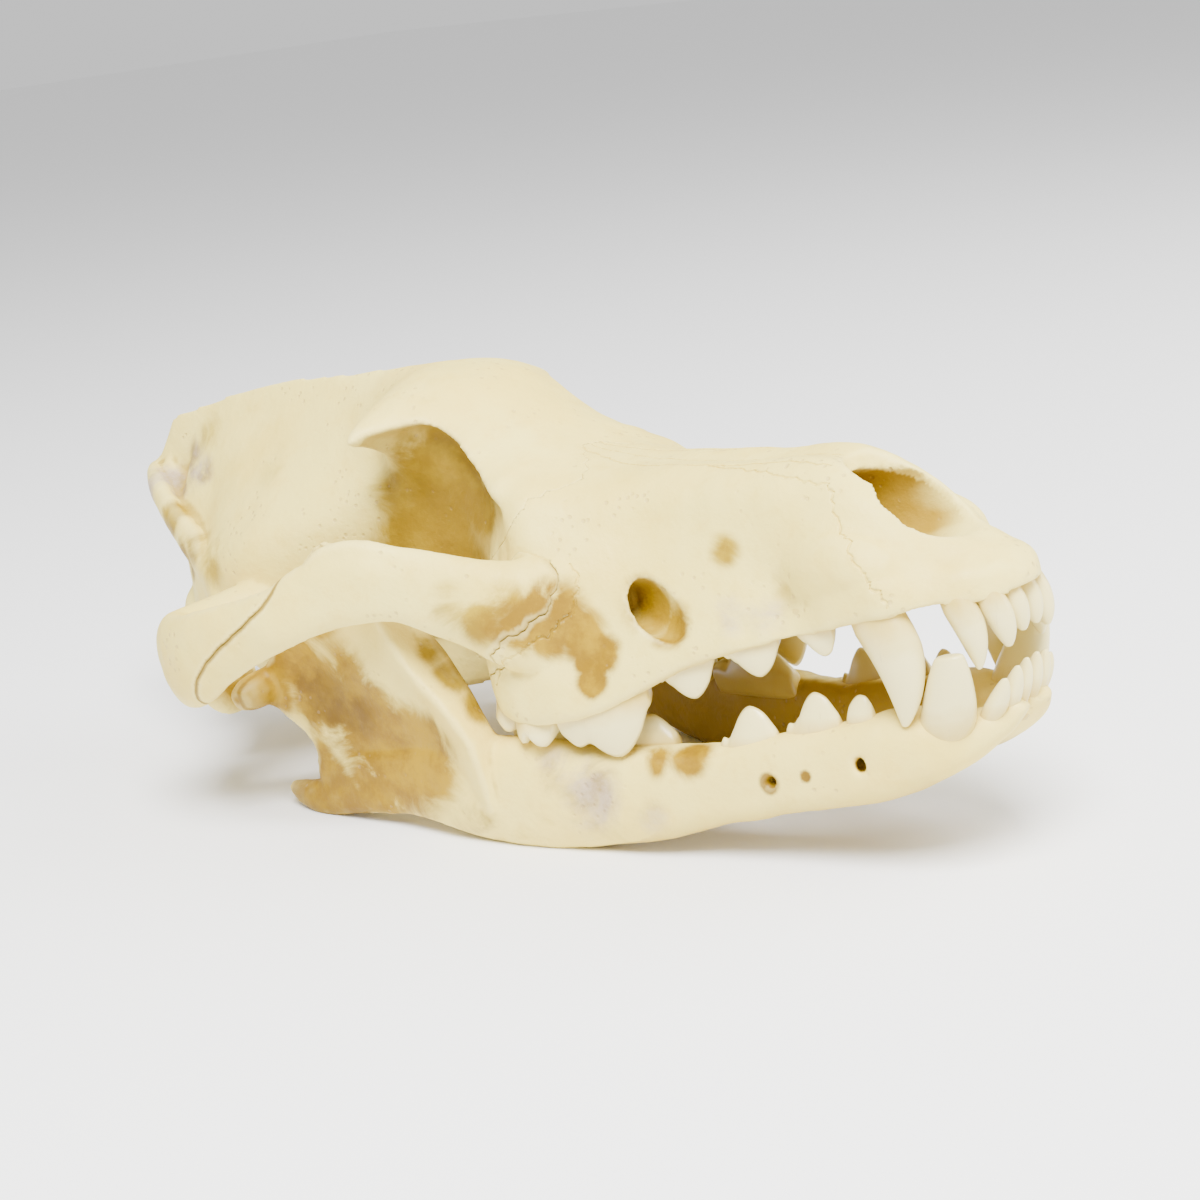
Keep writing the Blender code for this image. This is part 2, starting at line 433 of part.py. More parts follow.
def add_collection(name, hidden=False):
    """A collection under the scene's own."""
    collection = bpy.data.collections.new(name)
    bpy.context.scene.collection.children.link(collection)
    collection.hide_render = hidden
    return collection


def bake(obj):
    """Replaces an object's mesh by what its modifiers make of it."""
    bpy.context.view_layer.update()
    evaluated = obj.evaluated_get(bpy.context.evaluated_depsgraph_get())
    mesh = bpy.data.meshes.new_from_object(evaluated)
    obj.modifiers.clear()
    obj.data = mesh


def keep_largest(obj):
    """Deletes every loose surface of the mesh but the one with the largest volume."""
    shape = bmesh.new()
    shape.from_mesh(obj.data)
    waiting = set(shape.faces)
    groups = []
    while waiting:
        group = {waiting.pop()}
        edge_of_group = list(group)
        while edge_of_group:
            face = edge_of_group.pop()
            for edge in face.edges:
                for near in edge.link_faces:
                    if near in waiting:
                        waiting.discard(near)
                        group.add(near)
                        edge_of_group.append(near)
        groups.append(group)
    sizes = [abs(sum(f.calc_area() * f.normal.dot(f.calc_center_median()) for f in g)) for g in groups]
    largest = groups[int(np.argmax(sizes))]
    bmesh.ops.delete(shape, geom=[f for f in shape.faces if f not in largest], context="FACES")
    shape.to_mesh(obj.data)
    shape.free()


def drop(objects):
    """Removes objects from the file."""
    for obj in list(objects):
        bpy.data.objects.remove(obj, do_unlink=True)


def join_or_cut(obj, others, operation):
    """Applies one Boolean of a collection's closed meshes to an object, then empties it."""
    modifier = obj.modifiers.new(operation.lower(), "BOOLEAN")
    modifier.operation = operation
    modifier.operand_type = "COLLECTION"
    modifier.collection = others
    modifier.solver = "MANIFOLD"
    bake(obj)
    drop(others.objects)


def grow_together(obj, voxel, triangles):
    """Rounds the joins as bone grows, and thins the mesh to about this many triangles."""
    remesh = obj.modifiers.new("grow", "REMESH")
    remesh.mode = "VOXEL"
    remesh.voxel_size = voxel / 1000
    smooth = obj.modifiers.new("round", "SMOOTH")
    smooth.factor = 0.5
    smooth.iterations = 4
    bake(obj)
    keep_largest(obj)
    thin = obj.modifiers.new("thin", "DECIMATE")
    thin.ratio = triangles / (2 * len(obj.data.polygons))
    bake(obj)


def split_off(obj, name, region, grown_region, parts):
    """Moves what lies in the region into a new object, and leaves a thin cut along its edge."""
    piece = obj.copy()
    piece.data = obj.data.copy()
    piece.name = name
    parts.objects.link(piece)
    for target, cutter, operation in ((piece, region, "INTERSECT"), (obj, grown_region, "DIFFERENCE")):
        modifier = target.modifiers.new("suture", "BOOLEAN")
        modifier.operation = operation
        modifier.object = cutter
        modifier.solver = "MANIFOLD"
        bake(target)
        keep_largest(target)
    drop([region, grown_region])
    return piece


def cheekbone_region(side, grow, cutters):
    """The space that one cheekbone fills: its outline in side view, carried outward."""
    outline = np.array(CHEEKBONE_OUTLINE, float)
    ahead = np.roll(outline, -1, 0) - outline
    normal = np.stack([-ahead[:, 1], ahead[:, 0]], -1)
    normal /= np.linalg.norm(normal, axis=1, keepdims=True)
    bisector = normal + np.roll(normal, 1, 0)
    bisector /= (bisector * normal).sum(1, keepdims=True)
    area = outline[:, 0] * np.roll(outline[:, 1], -1) - np.roll(outline[:, 0], -1) * outline[:, 1]
    outline = outline - np.sign(area.sum()) * grow * bisector
    count = len(outline)
    points = []
    for reach in (CHEEKBONE_INNER - grow, CHEEKBONE_OUTER):
        points += [(x, side * reach, z) for x, z in outline]
    faces = [tuple(range(count)), tuple(range(2 * count - 1, count - 1, -1))]
    faces += [(i, (i + 1) % count, count + (i + 1) % count, count + i) for i in range(count)]
    return add_mesh("cheekbone_region", points, faces, cutters)


def suture_between(y, z):
    """How far forward the suture between face and braincase lies at a height and a side."""
    aside = np.clip((np.abs(y) - ORBIT_SUTURE_START) / ORBIT_SUTURE_WIDTH, 0, 1)
    middle = np.exp(-((y / NASAL_SUTURE_WIDTH) ** 2))
    brow = BROW_SUTURE - NASAL_SUTURE_EXTRA * middle - ORBIT_SUTURE_EXTRA * aside
    low = np.clip((SUTURE_TOP - z) / (SUTURE_TOP - SUTURE_BOTTOM), 0, 1)
    low = low * low * (3 - 2 * low)
    return brow + (PALATE_SUTURE - brow) * low + SUTURE_WAVE * np.sin(1.3 * y + 0.4 * z)


def face_region(grow, cutters):
    """The space in front of the suture between the face and the braincase."""
    across = np.linspace(-SUTURE_REACH, SUTURE_REACH, SUTURE_STEPS)
    y, z = np.meshgrid(across, across + SUTURE_MIDDLE, indexing="ij")
    back = suture_between(y, z)
    slope = np.gradient(back, across[1] - across[0])
    back = back - grow * np.sqrt(1 + slope[0] ** 2 + slope[1] ** 2)
    front = np.full_like(y, SUTURE_REACH)
    points = np.concatenate([np.stack([x, y, z], -1).reshape(-1, 3) for x in (back, front)])
    index = np.arange(y.size).reshape(y.shape)
    a, b, c, d = (k.ravel() for k in (index[:-1, :-1], index[:-1, 1:], index[1:, 1:], index[1:, :-1]))
    sheet = np.concatenate([np.stack([a, b, c], -1), np.stack([a, c, d], -1)])
    rim = np.concatenate([index[:-1, 0], index[-1, :-1], index[:0:-1, -1], index[0, :0:-1]])
    after = np.roll(rim, -1)
    wall = np.concatenate([np.stack([rim, after, after + y.size], -1),
                           np.stack([rim, after + y.size, rim + y.size], -1)])
    faces = np.concatenate([sheet, sheet[:, ::-1] + y.size, wall]).tolist()
    return add_mesh("face_region", points, faces, cutters)


def build_cranium(parts, cutters):
    """The whole upper skull without teeth, as one mesh."""
    pieces = add_collection("cranium_pieces", hidden=True)
    cranium = add_loft("braincase", trunk_rings(), parts)
    both_sides("cheek_arch", swept_rings(CHEEK_ARCH), pieces)
    both_sides("eye_spur", swept_rings(EYE_SPUR), pieces)
    add_loft("sagittal_crest", swept_rings(SAGITTAL_CREST, squareness=1.7), pieces)
    both_sides("nape_crest", swept_rings(NAPE_CREST), pieces)
    both_sides("neck_spur", swept_rings(NECK_SPUR, up=(1, 0, 0)), pieces)
    both_sides("throat_plate", swept_rings(THROAT_PLATE), pieces)
    for name, lump in (("ear_drum", EAR_DRUM), ("neck_knuckle", NECK_KNUCKLE),
                       ("hinge_stop", HINGE_STOP), ("canine_swelling", CANINE_SWELLING)):
        both_balls(name, lump, pieces)
    plate = [(x, 0, z, depth, width) for z, x, depth, width in NAPE_PLATE]
    plate = swept_rings(plate, up=(0, 1, 0), squareness=2.6)
    add_loft("nape_plate", plate, pieces)
    join_or_cut(cranium, pieces, "UNION")
    add_loft("nose_opening", swept_rings(NOSE_OPENING), pieces)
    add_ball("nose_notch", *NOSE_NOTCH, pieces)
    add_ball("spinal_opening", *SPINAL_OPENING, pieces)
    add_ball("throat_opening", *THROAT_OPENING, pieces)
    both_sides("cheek_foramen", swept_rings(CHEEK_FORAMEN), pieces)
    both_sides("ear_opening", swept_rings(EAR_OPENING), pieces)
    join_or_cut(cranium, pieces, "DIFFERENCE")
    bpy.data.collections.remove(pieces)
    grow_together(cranium, CRANIUM_VOXEL, CRANIUM_TRIANGLES)
    return cranium


def add_teeth(bone, cheek_teeth, front_teeth, sides, down):
    """Fuses rows of teeth into the bone they grow from."""
    row = add_collection("teeth", hidden=True)
    for side in sides:
        for name, front, rear, half_width, crown, cusps, section in cheek_teeth:
            rings = cheek_tooth_rings(front, rear, half_width, crown, cusps, section, down)
            add_loft(name, rings if side > 0 else mirrored(rings), row)
        for name, base, tip, half_length, half_width, bow, square, blunt in front_teeth:
            rings = front_tooth_rings(base, tip, half_length, half_width, bow, square, blunt)
            add_loft(name, rings if side > 0 else mirrored(rings), row)
    join_or_cut(bone, row, "UNION")
    bpy.data.collections.remove(row)
    keep_largest(bone)


def build_jaw(name, side, parts):
    """One half of the lower jaw with its teeth."""
    pieces = add_collection("jaw_pieces", hidden=True)
    turn = mirrored if side > 0 else np.array
    jaw = add_loft(name, turn(swept_rings(JAW_BODY, squareness=2.6)), parts)
    add_loft("jaw_angle", turn(swept_rings(JAW_ANGLE)), pieces)
    add_loft("jaw_hinge", turn(swept_rings(JAW_HINGE)), pieces)
    add_loft("jaw_blade", turn(blade_rings()), pieces)
    add_loft("jaw_flange", turn(swept_rings(JAW_FLANGE)), pieces)
    join_or_cut(jaw, pieces, "UNION")
    bpy.data.collections.remove(pieces)
    grow_together(jaw, JAW_VOXEL, JAW_TRIANGLES)
    add_teeth(jaw, LOWER_CHEEK_TEETH, LOWER_FRONT_TEETH, (side,), down=False)
    return jaw


def finish(obj, look):
    """Gives a piece its own material and shades it smooth."""
    colour, roughness = look
    material = bpy.data.materials.new(obj.name)
    material.use_nodes = True
    shader = material.node_tree.nodes["Principled BSDF"]
    shader.inputs["Base Color"].default_value = (*colour, 1)
    shader.inputs["Roughness"].default_value = roughness
    shader.inputs["Metallic"].default_value = 0
    obj.data.materials.clear()
    obj.data.materials.append(material)
    obj.data.shade_smooth()
    obj.data.set_sharp_from_angle(angle=np.radians(50))


def pose(nodes, cutters):
    """Hangs the pieces from one empty, tips the snout up and rests the lower jaw on the floor."""
    empty = bpy.data.objects.new("skull_pose", None)
    bpy.context.scene.collection.objects.link(empty)
    empty.rotation_euler = (0, -np.radians(NOSE_UP_DEGREES), 0)
    bpy.context.view_layer.update()
    turn = np.array(empty.matrix_world)[:3, :3]
    corners = np.concatenate([[turn @ np.array(v.co) for v in obj.data.vertices] for obj in nodes])
    low, high = corners.min(0), corners.max(0)
    empty.location = (-(low[0] + high[0]) / 2, -(low[1] + high[1]) / 2, -low[2] - FLOOR_CUT / 1000)
    mesh = bpy.data.meshes.new("floor_cutter")
    shape = bmesh.new()
    bmesh.ops.create_cube(shape, size=1)
    shape.to_mesh(mesh)
    shape.free()
    floor = bpy.data.objects.new("floor_cutter", mesh)
    cutters.objects.link(floor)
    floor.location.z = -0.5
    floor.hide_render = True
    floor.display_type = "WIRE"
    for obj in nodes:
        obj.parent = empty
        if obj.name.startswith("mandible"):
            modifier = obj.modifiers.new("resting_flats", "BOOLEAN")
            modifier.operation = "DIFFERENCE"
            modifier.object = floor


def main():
    drop(bpy.data.objects)
    parts = add_collection("wolf_skull")
    cutters = add_collection("cutters", hidden=True)
    braincase = build_cranium(parts, cutters)
    nodes = []
    for side, name in ((-1, "zygomatic_arch_right"), (1, "zygomatic_arch_left")):
        region = cheekbone_region(side, 0, cutters)
        grown = cheekbone_region(side, GAP, cutters)
        nodes.append(split_off(braincase, name, region, grown, parts))
    snout = split_off(braincase, "snout", face_region(0, cutters), face_region(GAP, cutters), parts)
    add_teeth(snout, UPPER_CHEEK_TEETH, UPPER_FRONT_TEETH, (-1, 1), down=True)
    nodes += [braincase, snout]
    for side, name in ((-1, "mandible_right"), (1, "mandible_left")):
        nodes.append(build_jaw(name, side, parts))
    for obj in nodes:
        finish(obj, HONEY_BONE if obj.name.startswith("mandible") else BONE)
    pose(nodes, cutters)


main()
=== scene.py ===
"""The looks of a wolf skull with its lower jaw closed.

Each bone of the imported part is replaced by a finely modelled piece, and the teeth are pieces of
their own. Lengths are in millimetres in the skull's own frame until a piece is finished: x runs
forward from the front of the upper jaw, y to the animal's left and z up from the line of the
upper tooth sockets. A finished piece stands in the part's frame, in metres.
"""

import json

import bmesh
import bpy
import numpy as np
from mathutils import Matrix, Vector
from mathutils.bvhtree import BVHTree

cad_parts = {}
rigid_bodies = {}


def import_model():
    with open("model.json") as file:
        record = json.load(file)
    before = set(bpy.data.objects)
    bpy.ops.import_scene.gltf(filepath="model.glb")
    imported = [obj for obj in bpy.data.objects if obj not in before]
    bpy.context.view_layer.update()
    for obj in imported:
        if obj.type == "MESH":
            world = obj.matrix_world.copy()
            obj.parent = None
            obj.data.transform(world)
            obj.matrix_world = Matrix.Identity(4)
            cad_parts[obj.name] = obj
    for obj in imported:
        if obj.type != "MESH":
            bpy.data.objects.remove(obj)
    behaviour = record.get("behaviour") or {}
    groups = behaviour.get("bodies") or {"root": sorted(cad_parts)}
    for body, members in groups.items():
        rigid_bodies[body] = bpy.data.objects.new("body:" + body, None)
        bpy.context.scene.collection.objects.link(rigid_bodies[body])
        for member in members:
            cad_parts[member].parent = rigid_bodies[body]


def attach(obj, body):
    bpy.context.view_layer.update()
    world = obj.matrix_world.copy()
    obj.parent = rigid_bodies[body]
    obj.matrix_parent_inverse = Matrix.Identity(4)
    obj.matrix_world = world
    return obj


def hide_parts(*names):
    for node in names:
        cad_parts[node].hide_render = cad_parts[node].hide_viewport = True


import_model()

bl_info = {
    "name": "Wolf skull",
    "version": (1, 0, 0),
    "blender": (4, 5, 0),
    "location": "3D View > Sidebar > Wolf skull",
    "description": "Builds the bones, the teeth and the stage of a wolf skull",
    "category": "Object",
}

# Where the skull's own frame stands in the part's frame, in millimetres, and how far it tips up
POSE_PLACE = (139.819, -0.031, 61.109)
NOSE_UP_DEGREES = 10.5
# Width of the cut between the face and the braincase, and round the cheekbones
FACE_GAP = 0.12
CHEEK_GAP = 0.3
# Ends of the trunk of the cranium along x, steps between two guide curves, and its sections
SKULL_FRONT = 3.0
OCCIPUT_BACK = -264.0
RING_STEPS = 8
TRUNK_STATIONS = 300

# Guide curves of the cranium, each knot (x, half-width, height). A section of the cranium passes
# through all eight in this order, from the crown down to the midline of the palate.
CROWN = [(3, 0, 5), (1.5, 0, 8), (-3, 0, 11.5), (-12, 0, 16.5), (-26, 0, 29), (-38, 0, 35.5),
         (-60, 0, 37.2), (-80, 0, 39.8), (-95, 0, 43), (-108, 0, 47.5), (-116, 0, 53),
         (-124, 0, 60.5), (-134, 0, 69), (-148, 0, 74.5), (-165, 0, 75.8), (-190, 0, 77.2),
         (-215, 0, 78.4), (-235, 0, 77.6), (-246, 0, 75), (-254, 0, 69), (-258, 0, 58),
         (-261, 0, 42), (-264, 0, 31)]
RIDGE = [(3, 1.5, 4.8), (1.5, 3, 7.5), (-3, 6, 11), (-12, 8, 16), (-26, 8.5, 29.5),
         (-38, 8, 36), (-60, 8.5, 38), (-80, 10, 40.5), (-95, 12, 42), (-108, 13, 46.5),
         (-116, 13.5, 51.5), (-124, 13.5, 57.5), (-134, 13.5, 67), (-148, 12.5, 73),
         (-160, 7, 73.5), (-175, 4.5, 73), (-190, 4, 72.5), (-205, 4, 72.5), (-220, 4, 72.5),
         (-235, 4, 71.5), (-246, 4, 69), (-254, 4, 63), (-258, 4, 52), (-261, 3.5, 39),
         (-264, 2, 31)]
BROW = [(3, 2.2, 4.5), (1.5, 5, 7), (-3, 9, 9.5), (-12, 10.8, 14.5), (-24, 12.8, 25.5),
        (-42, 14, 32), (-70, 17, 34.5), (-95, 23.5, 37), (-108, 31, 38.5), (-116, 29, 42),
        (-124, 24.5, 50), (-132, 22.5, 58.5), (-140, 26, 63), (-147, 33, 63), (-151, 36.5, 61.6),
        (-156, 25, 62.5), (-164, 14, 64), (-178, 12.5, 61.5), (-190, 14.5, 59.5), (-205, 17, 57.5),
        (-220, 17, 56), (-235, 16, 53.5), (-246, 15.5, 51), (-254, 13, 46.5), (-258, 10, 40),
        (-261, 7, 34), (-264, 3, 30)]
FLANK = [(3, 2.5, 4), (1.5, 6, 5.5), (-3, 11, 8), (-12, 15.4, 11.5), (-22, 18.6, 14.5),
         (-34, 19.5, 16.5), (-55, 19.6, 19.5), (-85, 26, 23), (-106, 33, 31), (-113, 31, 35),
         (-119, 24, 40), (-126, 18.5, 43), (-138, 16.5, 46), (-150, 17, 48), (-162, 18.5, 47),
         (-175, 23.5, 45.5), (-190, 29, 43), (-205, 32.5, 41), (-220, 31.5, 38.5), (-232, 28.5, 36),
         (-245, 21, 35), (-254, 14, 33), (-260, 9, 29.5), (-264, 4, 29)]
CHEEK = [(3, 2.4, 3.4), (1.5, 6.2, 4.2), (-3, 11.6, 5), (-12, 17.6, 7.5), (-22, 23, 8.5),
         (-32, 23.4, 8), (-42, 22, 7.5), (-70, 28, 6), (-98, 37.5, 4), (-108, 40, 3.5),
         (-118, 39.8, 4), (-125, 36, 6), (-129, 24, 12), (-134, 18, 18), (-145, 15, 24),
         (-160, 17, 28), (-175, 23, 29), (-205, 33, 27), (-232, 29, 21), (-250, 17, 20),
         (-260, 8, 25), (-264, 3.5, 27.5)]
GUM = [(3, 1.8, 2.2), (1.5, 5.8, 1.8), (-3, 11.4, 1.6), (-12, 17.2, 3), (-22, 23.4, 3),
       (-32, 23.4, 2), (-42, 22.4, 0.6), (-55, 25.4, 0), (-70, 29.5, -1.6), (-84, 34.6, -5.8),
       (-91, 37.6, -7.9), (-108, 41, -9.2), (-118, 39.5, -8.6), (-125, 35, -4.5),
       (-129, 20, 1), (-140, 12, 7), (-172, 13, 10), (-185, 21, 13), (-200, 27, 14),
       (-232, 24, 13), (-250, 13, 15), (-260, 6, 22), (-264, 3, 26)]
VAULT = [(3, 1, 2), (1.5, 4, 2), (-3, 7, 3), (-12, 10.5, 6), (-32, 14, 6), (-55, 15.5, 3),
         (-85, 20.5, -2.5), (-108, 23, -4.5), (-118, 20, -3), (-125, 14, 0), (-130, 8, 6),
         (-140, 7, 13), (-172, 8, 14), (-200, 14, 12.5), (-235, 12, 12.5), (-250, 7, 14.5),
         (-260, 3, 21), (-264, 1.5, 26)]
KEEL = [(3, 0, 2), (1.5, 0, 2.4), (-3, 0, 4.5), (-20, 0, 7.5), (-42, 0, 6.5), (-70, 0, 2.5),
        (-98, 0, -1), (-118, 0, 0), (-130, 0, 9), (-140, 0, 16), (-160, 0, 18),
        (-185, 0, 13.5), (-220, 0, 12), (-250, 0, 14.5), (-260, 0, 21), (-264, 0, 26)]

# How the side of the head tucks in under the brow round the orbit: how far in and down, and the
# places along x where that begins, is full, starts to fade and ends.
BROW_TUCK = (-6.5, -1.5)
BROW_TUCK_SPAN = (-113, -122, -151, -157)

# Paths of the processes on the right side, each knot (x, y, z, half-thickness, half-height).
CHEEK_ARCH = [(-90, -24, 12, 4, 10), (-100, -31, 13, 6, 14), (-108, -37, 15.5, 6.5, 13.5),
              (-116, -41.5, 20, 6, 11), (-124, -45.5, 24.6, 5, 9.8), (-133, -50.5, 29.3, 4.2, 9),
              (-142, -55.5, 31.2, 3.8, 9.2), (-151, -59.5, 30.5, 3.6, 8.6),
              (-161, -63, 27.7, 3.6, 7.5), (-173, -65.5, 25.4, 3.8, 8.2), (-185, -66.6, 23, 4.2, 9.8),
              (-195, -65.4, 20.4, 5, 11.4), (-204, -61.5, 19.6, 5.8, 12), (-210.5, -54, 20, 6.6, 11.6),
              (-210, -43, 21, 7, 10.6), (-201, -26, 24, 7, 9)]
EYE_SPUR = [(-131, -50, 34.5, 2.5, 3.4), (-138, -53.5, 38.4, 2.4, 3.2), (-145, -57, 39.6, 2.2, 2.8),
            (-152, -60.5, 35.5, 2, 2.5)]
SAGITTAL_CREST = [(-156, 0, 70, 2, 5), (-170, 0, 68, 2, 8.6), (-188, 0, 64, 2.2, 14),
                  (-204, 0, 62, 2.4, 17.4), (-220, 0, 60.5, 2.4, 19), (-236, 0, 59, 2.4, 20),
                  (-252, 0, 58, 2.4, 20), (-262, 0, 57.5, 2.4, 18.6), (-270, 0, 58.6, 2.4, 13),
                  (-275.5, 0, 60.5, 1.8, 6)]
NAPE_CREST = [(-274.5, 0, 63, 2.4, 3.4), (-269, -5, 61.5, 2.6, 4), (-262, -10, 57.5, 2.8, 4.6),
              (-252.5, -15.5, 52, 3, 5), (-242, -20.5, 45.5, 3.2, 5.4), (-231.5, -25.5, 38, 3.4, 6),
              (-225, -29, 30, 3.2, 6), (-221.5, -31.5, 22, 3, 5), (-221, -32, 14, 3, 4)]
NECK_SPUR = [(-227, -29, 20, 5, 4), (-231, -29, 10, 3.5, 3), (-233, -28, 2, 1.5, 1.5)]
THROAT_PLATE = [(-126, -12, 5, 1.6, 6), (-140, -11, 5.5, 1.6, 9.5), (-156, -11, 5.5, 1.6, 11.5),
                (-166, -11.5, 4, 1.5, 11), (-172, -12, -1, 1.2, 5), (-174, -12, -4, 0.8, 2)]
JAW_BODY = [(-4, -3.4, -22.6, 3, 1.8), (-7, -4.6, -24.4, 4.4, 3), (-11, -6.4, -26.2, 6.2, 4),
            (-15, -8, -27.6, 7.6, 5), (-20, -10.2, -28.2, 8.8, 6.8), (-28, -13.6, -28.4, 8.2, 9.2),
            (-36, -16.6, -29.4, 7, 9.4), (-45, -18.8, -29.9, 6.2, 9.1), (-60, -22.2, -30.3, 5.8, 9),
            (-68, -24, -31, 5.9, 9), (-76, -25.7, -30.6, 6, 10), (-90, -29, -30.8, 6.4, 11),
            (-105, -32, -30, 6.8, 11.9), (-118, -35, -27.6, 6.8, 13.4), (-132, -38.5, -24.6, 6, 12.8),
            (-146, -41, -21.6, 4.4, 10.8), (-160, -42.5, -20.4, 3, 8.6), (-175, -43, -20.2, 2.6, 7.8),
            (-185, -43, -20.5, 2.2, 6)]
JAW_ANGLE = [(-165, -43, -22.5, 3, 5.6), (-178, -43, -23.2, 3, 5), (-188, -43, -23.5, 3.2, 4.8),
             (-194, -42.5, -22.6, 3, 3.8), (-198, -42, -21.6, 2.6, 2.8), (-201, -41.8, -20.4, 1.4, 1.6)]
JAW_HINGE = [(-192, -31, 9, 2.5, 2.5), (-193, -36, 8.4, 3.8, 4), (-194.6, -45, 7.6, 4.4, 4.6),
             (-195, -52, 7, 4.2, 4.2), (-195, -56, 6.6, 2.6, 2.6)]
JAW_FLANGE = [(-147.5, -40.5, 26, 1.5, 2.5), (-142.5, -39.5, 14, 2.2, 3.4), (-138, -39, 5, 2.8, 4),
              (-134, -39, -5, 3.2, 4.2), (-130.5, -39, -15, 3.2, 4), (-125, -37, -24, 3, 4.5)]
# The blade of the lower jaw that the temple muscle pulls, edge by edge, each knot (z, x).
BLADE_FRONT = [(-29, -127), (-22, -126), (-14, -126), (-4, -129.5), (8, -137.5), (20, -143),
               (30, -147.5), (36, -151.5), (39.5, -157), (41, -162)]
BLADE_REAR = [(-29, -165), (-26, -178), (-22, -187), (-17, -187), (-11, -184.5), (-6, -186),
              (-1, -191.5), (4, -197), (8, -198), (12, -194), (17, -187), (22, -181.5),
              (30, -177.5), (36, -171.5), (39.5, -166), (41, -162.5)]
BLADE_MIDDLE = [(-29, -40.5), (-20, -41.5), (0, -43.5), (20, -44.5), (41, -43)]
# Half-thickness of that blade between its edges, what its front and rear edges add, and the share
# of the blade's depth that each edge takes
BLADE_WEB = 1.3
BLADE_FRONT_EDGE = 3.6
BLADE_FRONT_SHARE = 0.16
BLADE_REAR_EDGE = 1.5
BLADE_REAR_SHARE = 0.2
# Where the blade starts to thin upward, over what height, and to which share at the most
BLADE_THINS_ABOVE = 20
BLADE_THINNING_HEIGHT = 40
BLADE_TIP_SHARE = 0.45


def fade(value, start, end):
    """Goes from 0 to 1 while the value goes from start to end, which may be the lower one."""
    return np.clip((value - start) / (end - start), 0, 1)


def through(knots, at):
    """Cubic curve through (place, value, ...) knots that does not overshoot them."""
    table = np.array(knots, float)
    table = table[np.argsort(table[:, 0])]
    place = table[:, 0]
    step = np.diff(place)
    columns = []
    for value in table[:, 1:].T:
        slope = np.diff(value) / step
        tangent = np.concatenate([slope[:1], np.zeros(len(slope) - 1), slope[-1:]])
        tangent[1:-1] = (step[1:] * slope[:-1] + step[:-1] * slope[1:]) / (step[1:] + step[:-1])
        before = np.abs(np.concatenate([slope[:1], slope]))
        after = np.abs(np.concatenate([slope, slope[-1:]]))
        tangent = np.clip(tangent, -3 * np.minimum(before, after), 3 * np.minimum(before, after))
        turns = np.concatenate([[False], slope[:-1] * slope[1:] < 0, [False]])
        tangent[turns] *= 0.35
        span = np.clip(np.searchsorted(place, at) - 1, 0, len(step) - 1)
        t = np.clip((at - place[span]) / step[span], 0, 1)
        columns.append((2 * t**3 - 3 * t**2 + 1) * value[span]
                       + (t**3 - 2 * t**2 + t) * step[span] * tangent[span]
                       + (3 * t**2 - 2 * t**3) * value[span + 1]
                       + (t**3 - t**2) * step[span] * tangent[span + 1])
    return np.stack(columns, -1)


def section_through(corners, steps):
    """Smooth half-section through its corners, (stations, corners, 2), both ends on the midline."""
    mirror = np.array([-1.0, 1.0])
    ring = np.concatenate([corners[:, 1:2] * mirror, corners, corners[:, -2:-1] * mirror], 1)
    t = (np.arange(steps) / steps)[None, :, None]
    spans = []
    for i in range(corners.shape[1] - 1):
        a, b, c, d = (ring[:, i + k][:, None, :] for k in range(4))
        ab, bc, cd = (np.linalg.norm(q - p, axis=-1, keepdims=True) + 1e-6
                      for p, q in ((a, b), (b, c), (c, d)))
        leave = ((b - a) / ab * bc + (c - b) / bc * ab) / (ab + bc) * bc
        arrive = ((c - b) / bc * cd + (d - c) / cd * bc) / (bc + cd) * bc
        spans.append((2 * t**3 - 3 * t**2 + 1) * b + (t**3 - 2 * t**2 + t) * leave
                     + (3 * t**2 - 2 * t**3) * c + (t**3 - t**2) * arrive)
    spans.append(corners[:, -1:])
    return np.concatenate(spans, 1)


def trunk_rings():
    """Sections of the cranium without its arches, crests and processes."""
    front = SKULL_FRONT - 6 * np.linspace(0, 1, 10) ** 1.6
    x = np.concatenate([front, np.linspace(front[-1] - 1.5, OCCIPUT_BACK, TRUNK_STATIONS)])
    rails = [through(knots, x) for knots in (CROWN, RIDGE, BROW, FLANK, CHEEK, GUM, VAULT, KEEL)]
    tuck = np.interp(-x, -np.array(BROW_TUCK_SPAN, float), (0, 1, 1, 0))[:, None]
    below_brow = (rails[2] + rails[3]) / 2 * (1 - tuck) + (rails[2] + np.array(BROW_TUCK)) * tuck
    rails.insert(3, below_brow)
    half = section_through(np.stack(rails, 1), RING_STEPS)
    other = half[:, -2:0:-1] * np.array([-1.0, 1.0])
    outline = np.concatenate([half, other], 1)
    along = np.broadcast_to(x[:, None, None], outline.shape[:2] + (1,))
    return np.concatenate([along, outline], -1)


def swept_rings(knots, count=48, around=24, up=(0, 0, 1), squareness=2.2):
    """Superellipse sections carried along a path of (x, y, z, half-thickness, half-height)."""
    table = np.array(knots, float)
    lengths = np.linalg.norm(np.diff(table[:, :3], axis=0), axis=1)
    place = np.concatenate([[0], np.cumsum(lengths)])
    row = through(np.column_stack([place, table]), np.linspace(0, place[-1], count))
    path = row[:, :3]
    ahead = np.gradient(path, axis=0)
    ahead /= np.linalg.norm(ahead, axis=1, keepdims=True)
    side = np.cross(ahead, np.array(up, float))
    side /= np.linalg.norm(side, axis=1, keepdims=True)
    rise = np.cross(side, ahead)
    angle = np.linspace(0, 2 * np.pi, around, endpoint=False)
    across = np.sign(np.cos(angle)) * np.abs(np.cos(angle)) ** (2 / squareness)
    upward = np.sign(np.sin(angle)) * np.abs(np.sin(angle)) ** (2 / squareness)
    return (path[:, None] + side[:, None] * (row[:, 3:4] * across)[..., None]
            + rise[:, None] * (row[:, 4:5] * upward)[..., None])


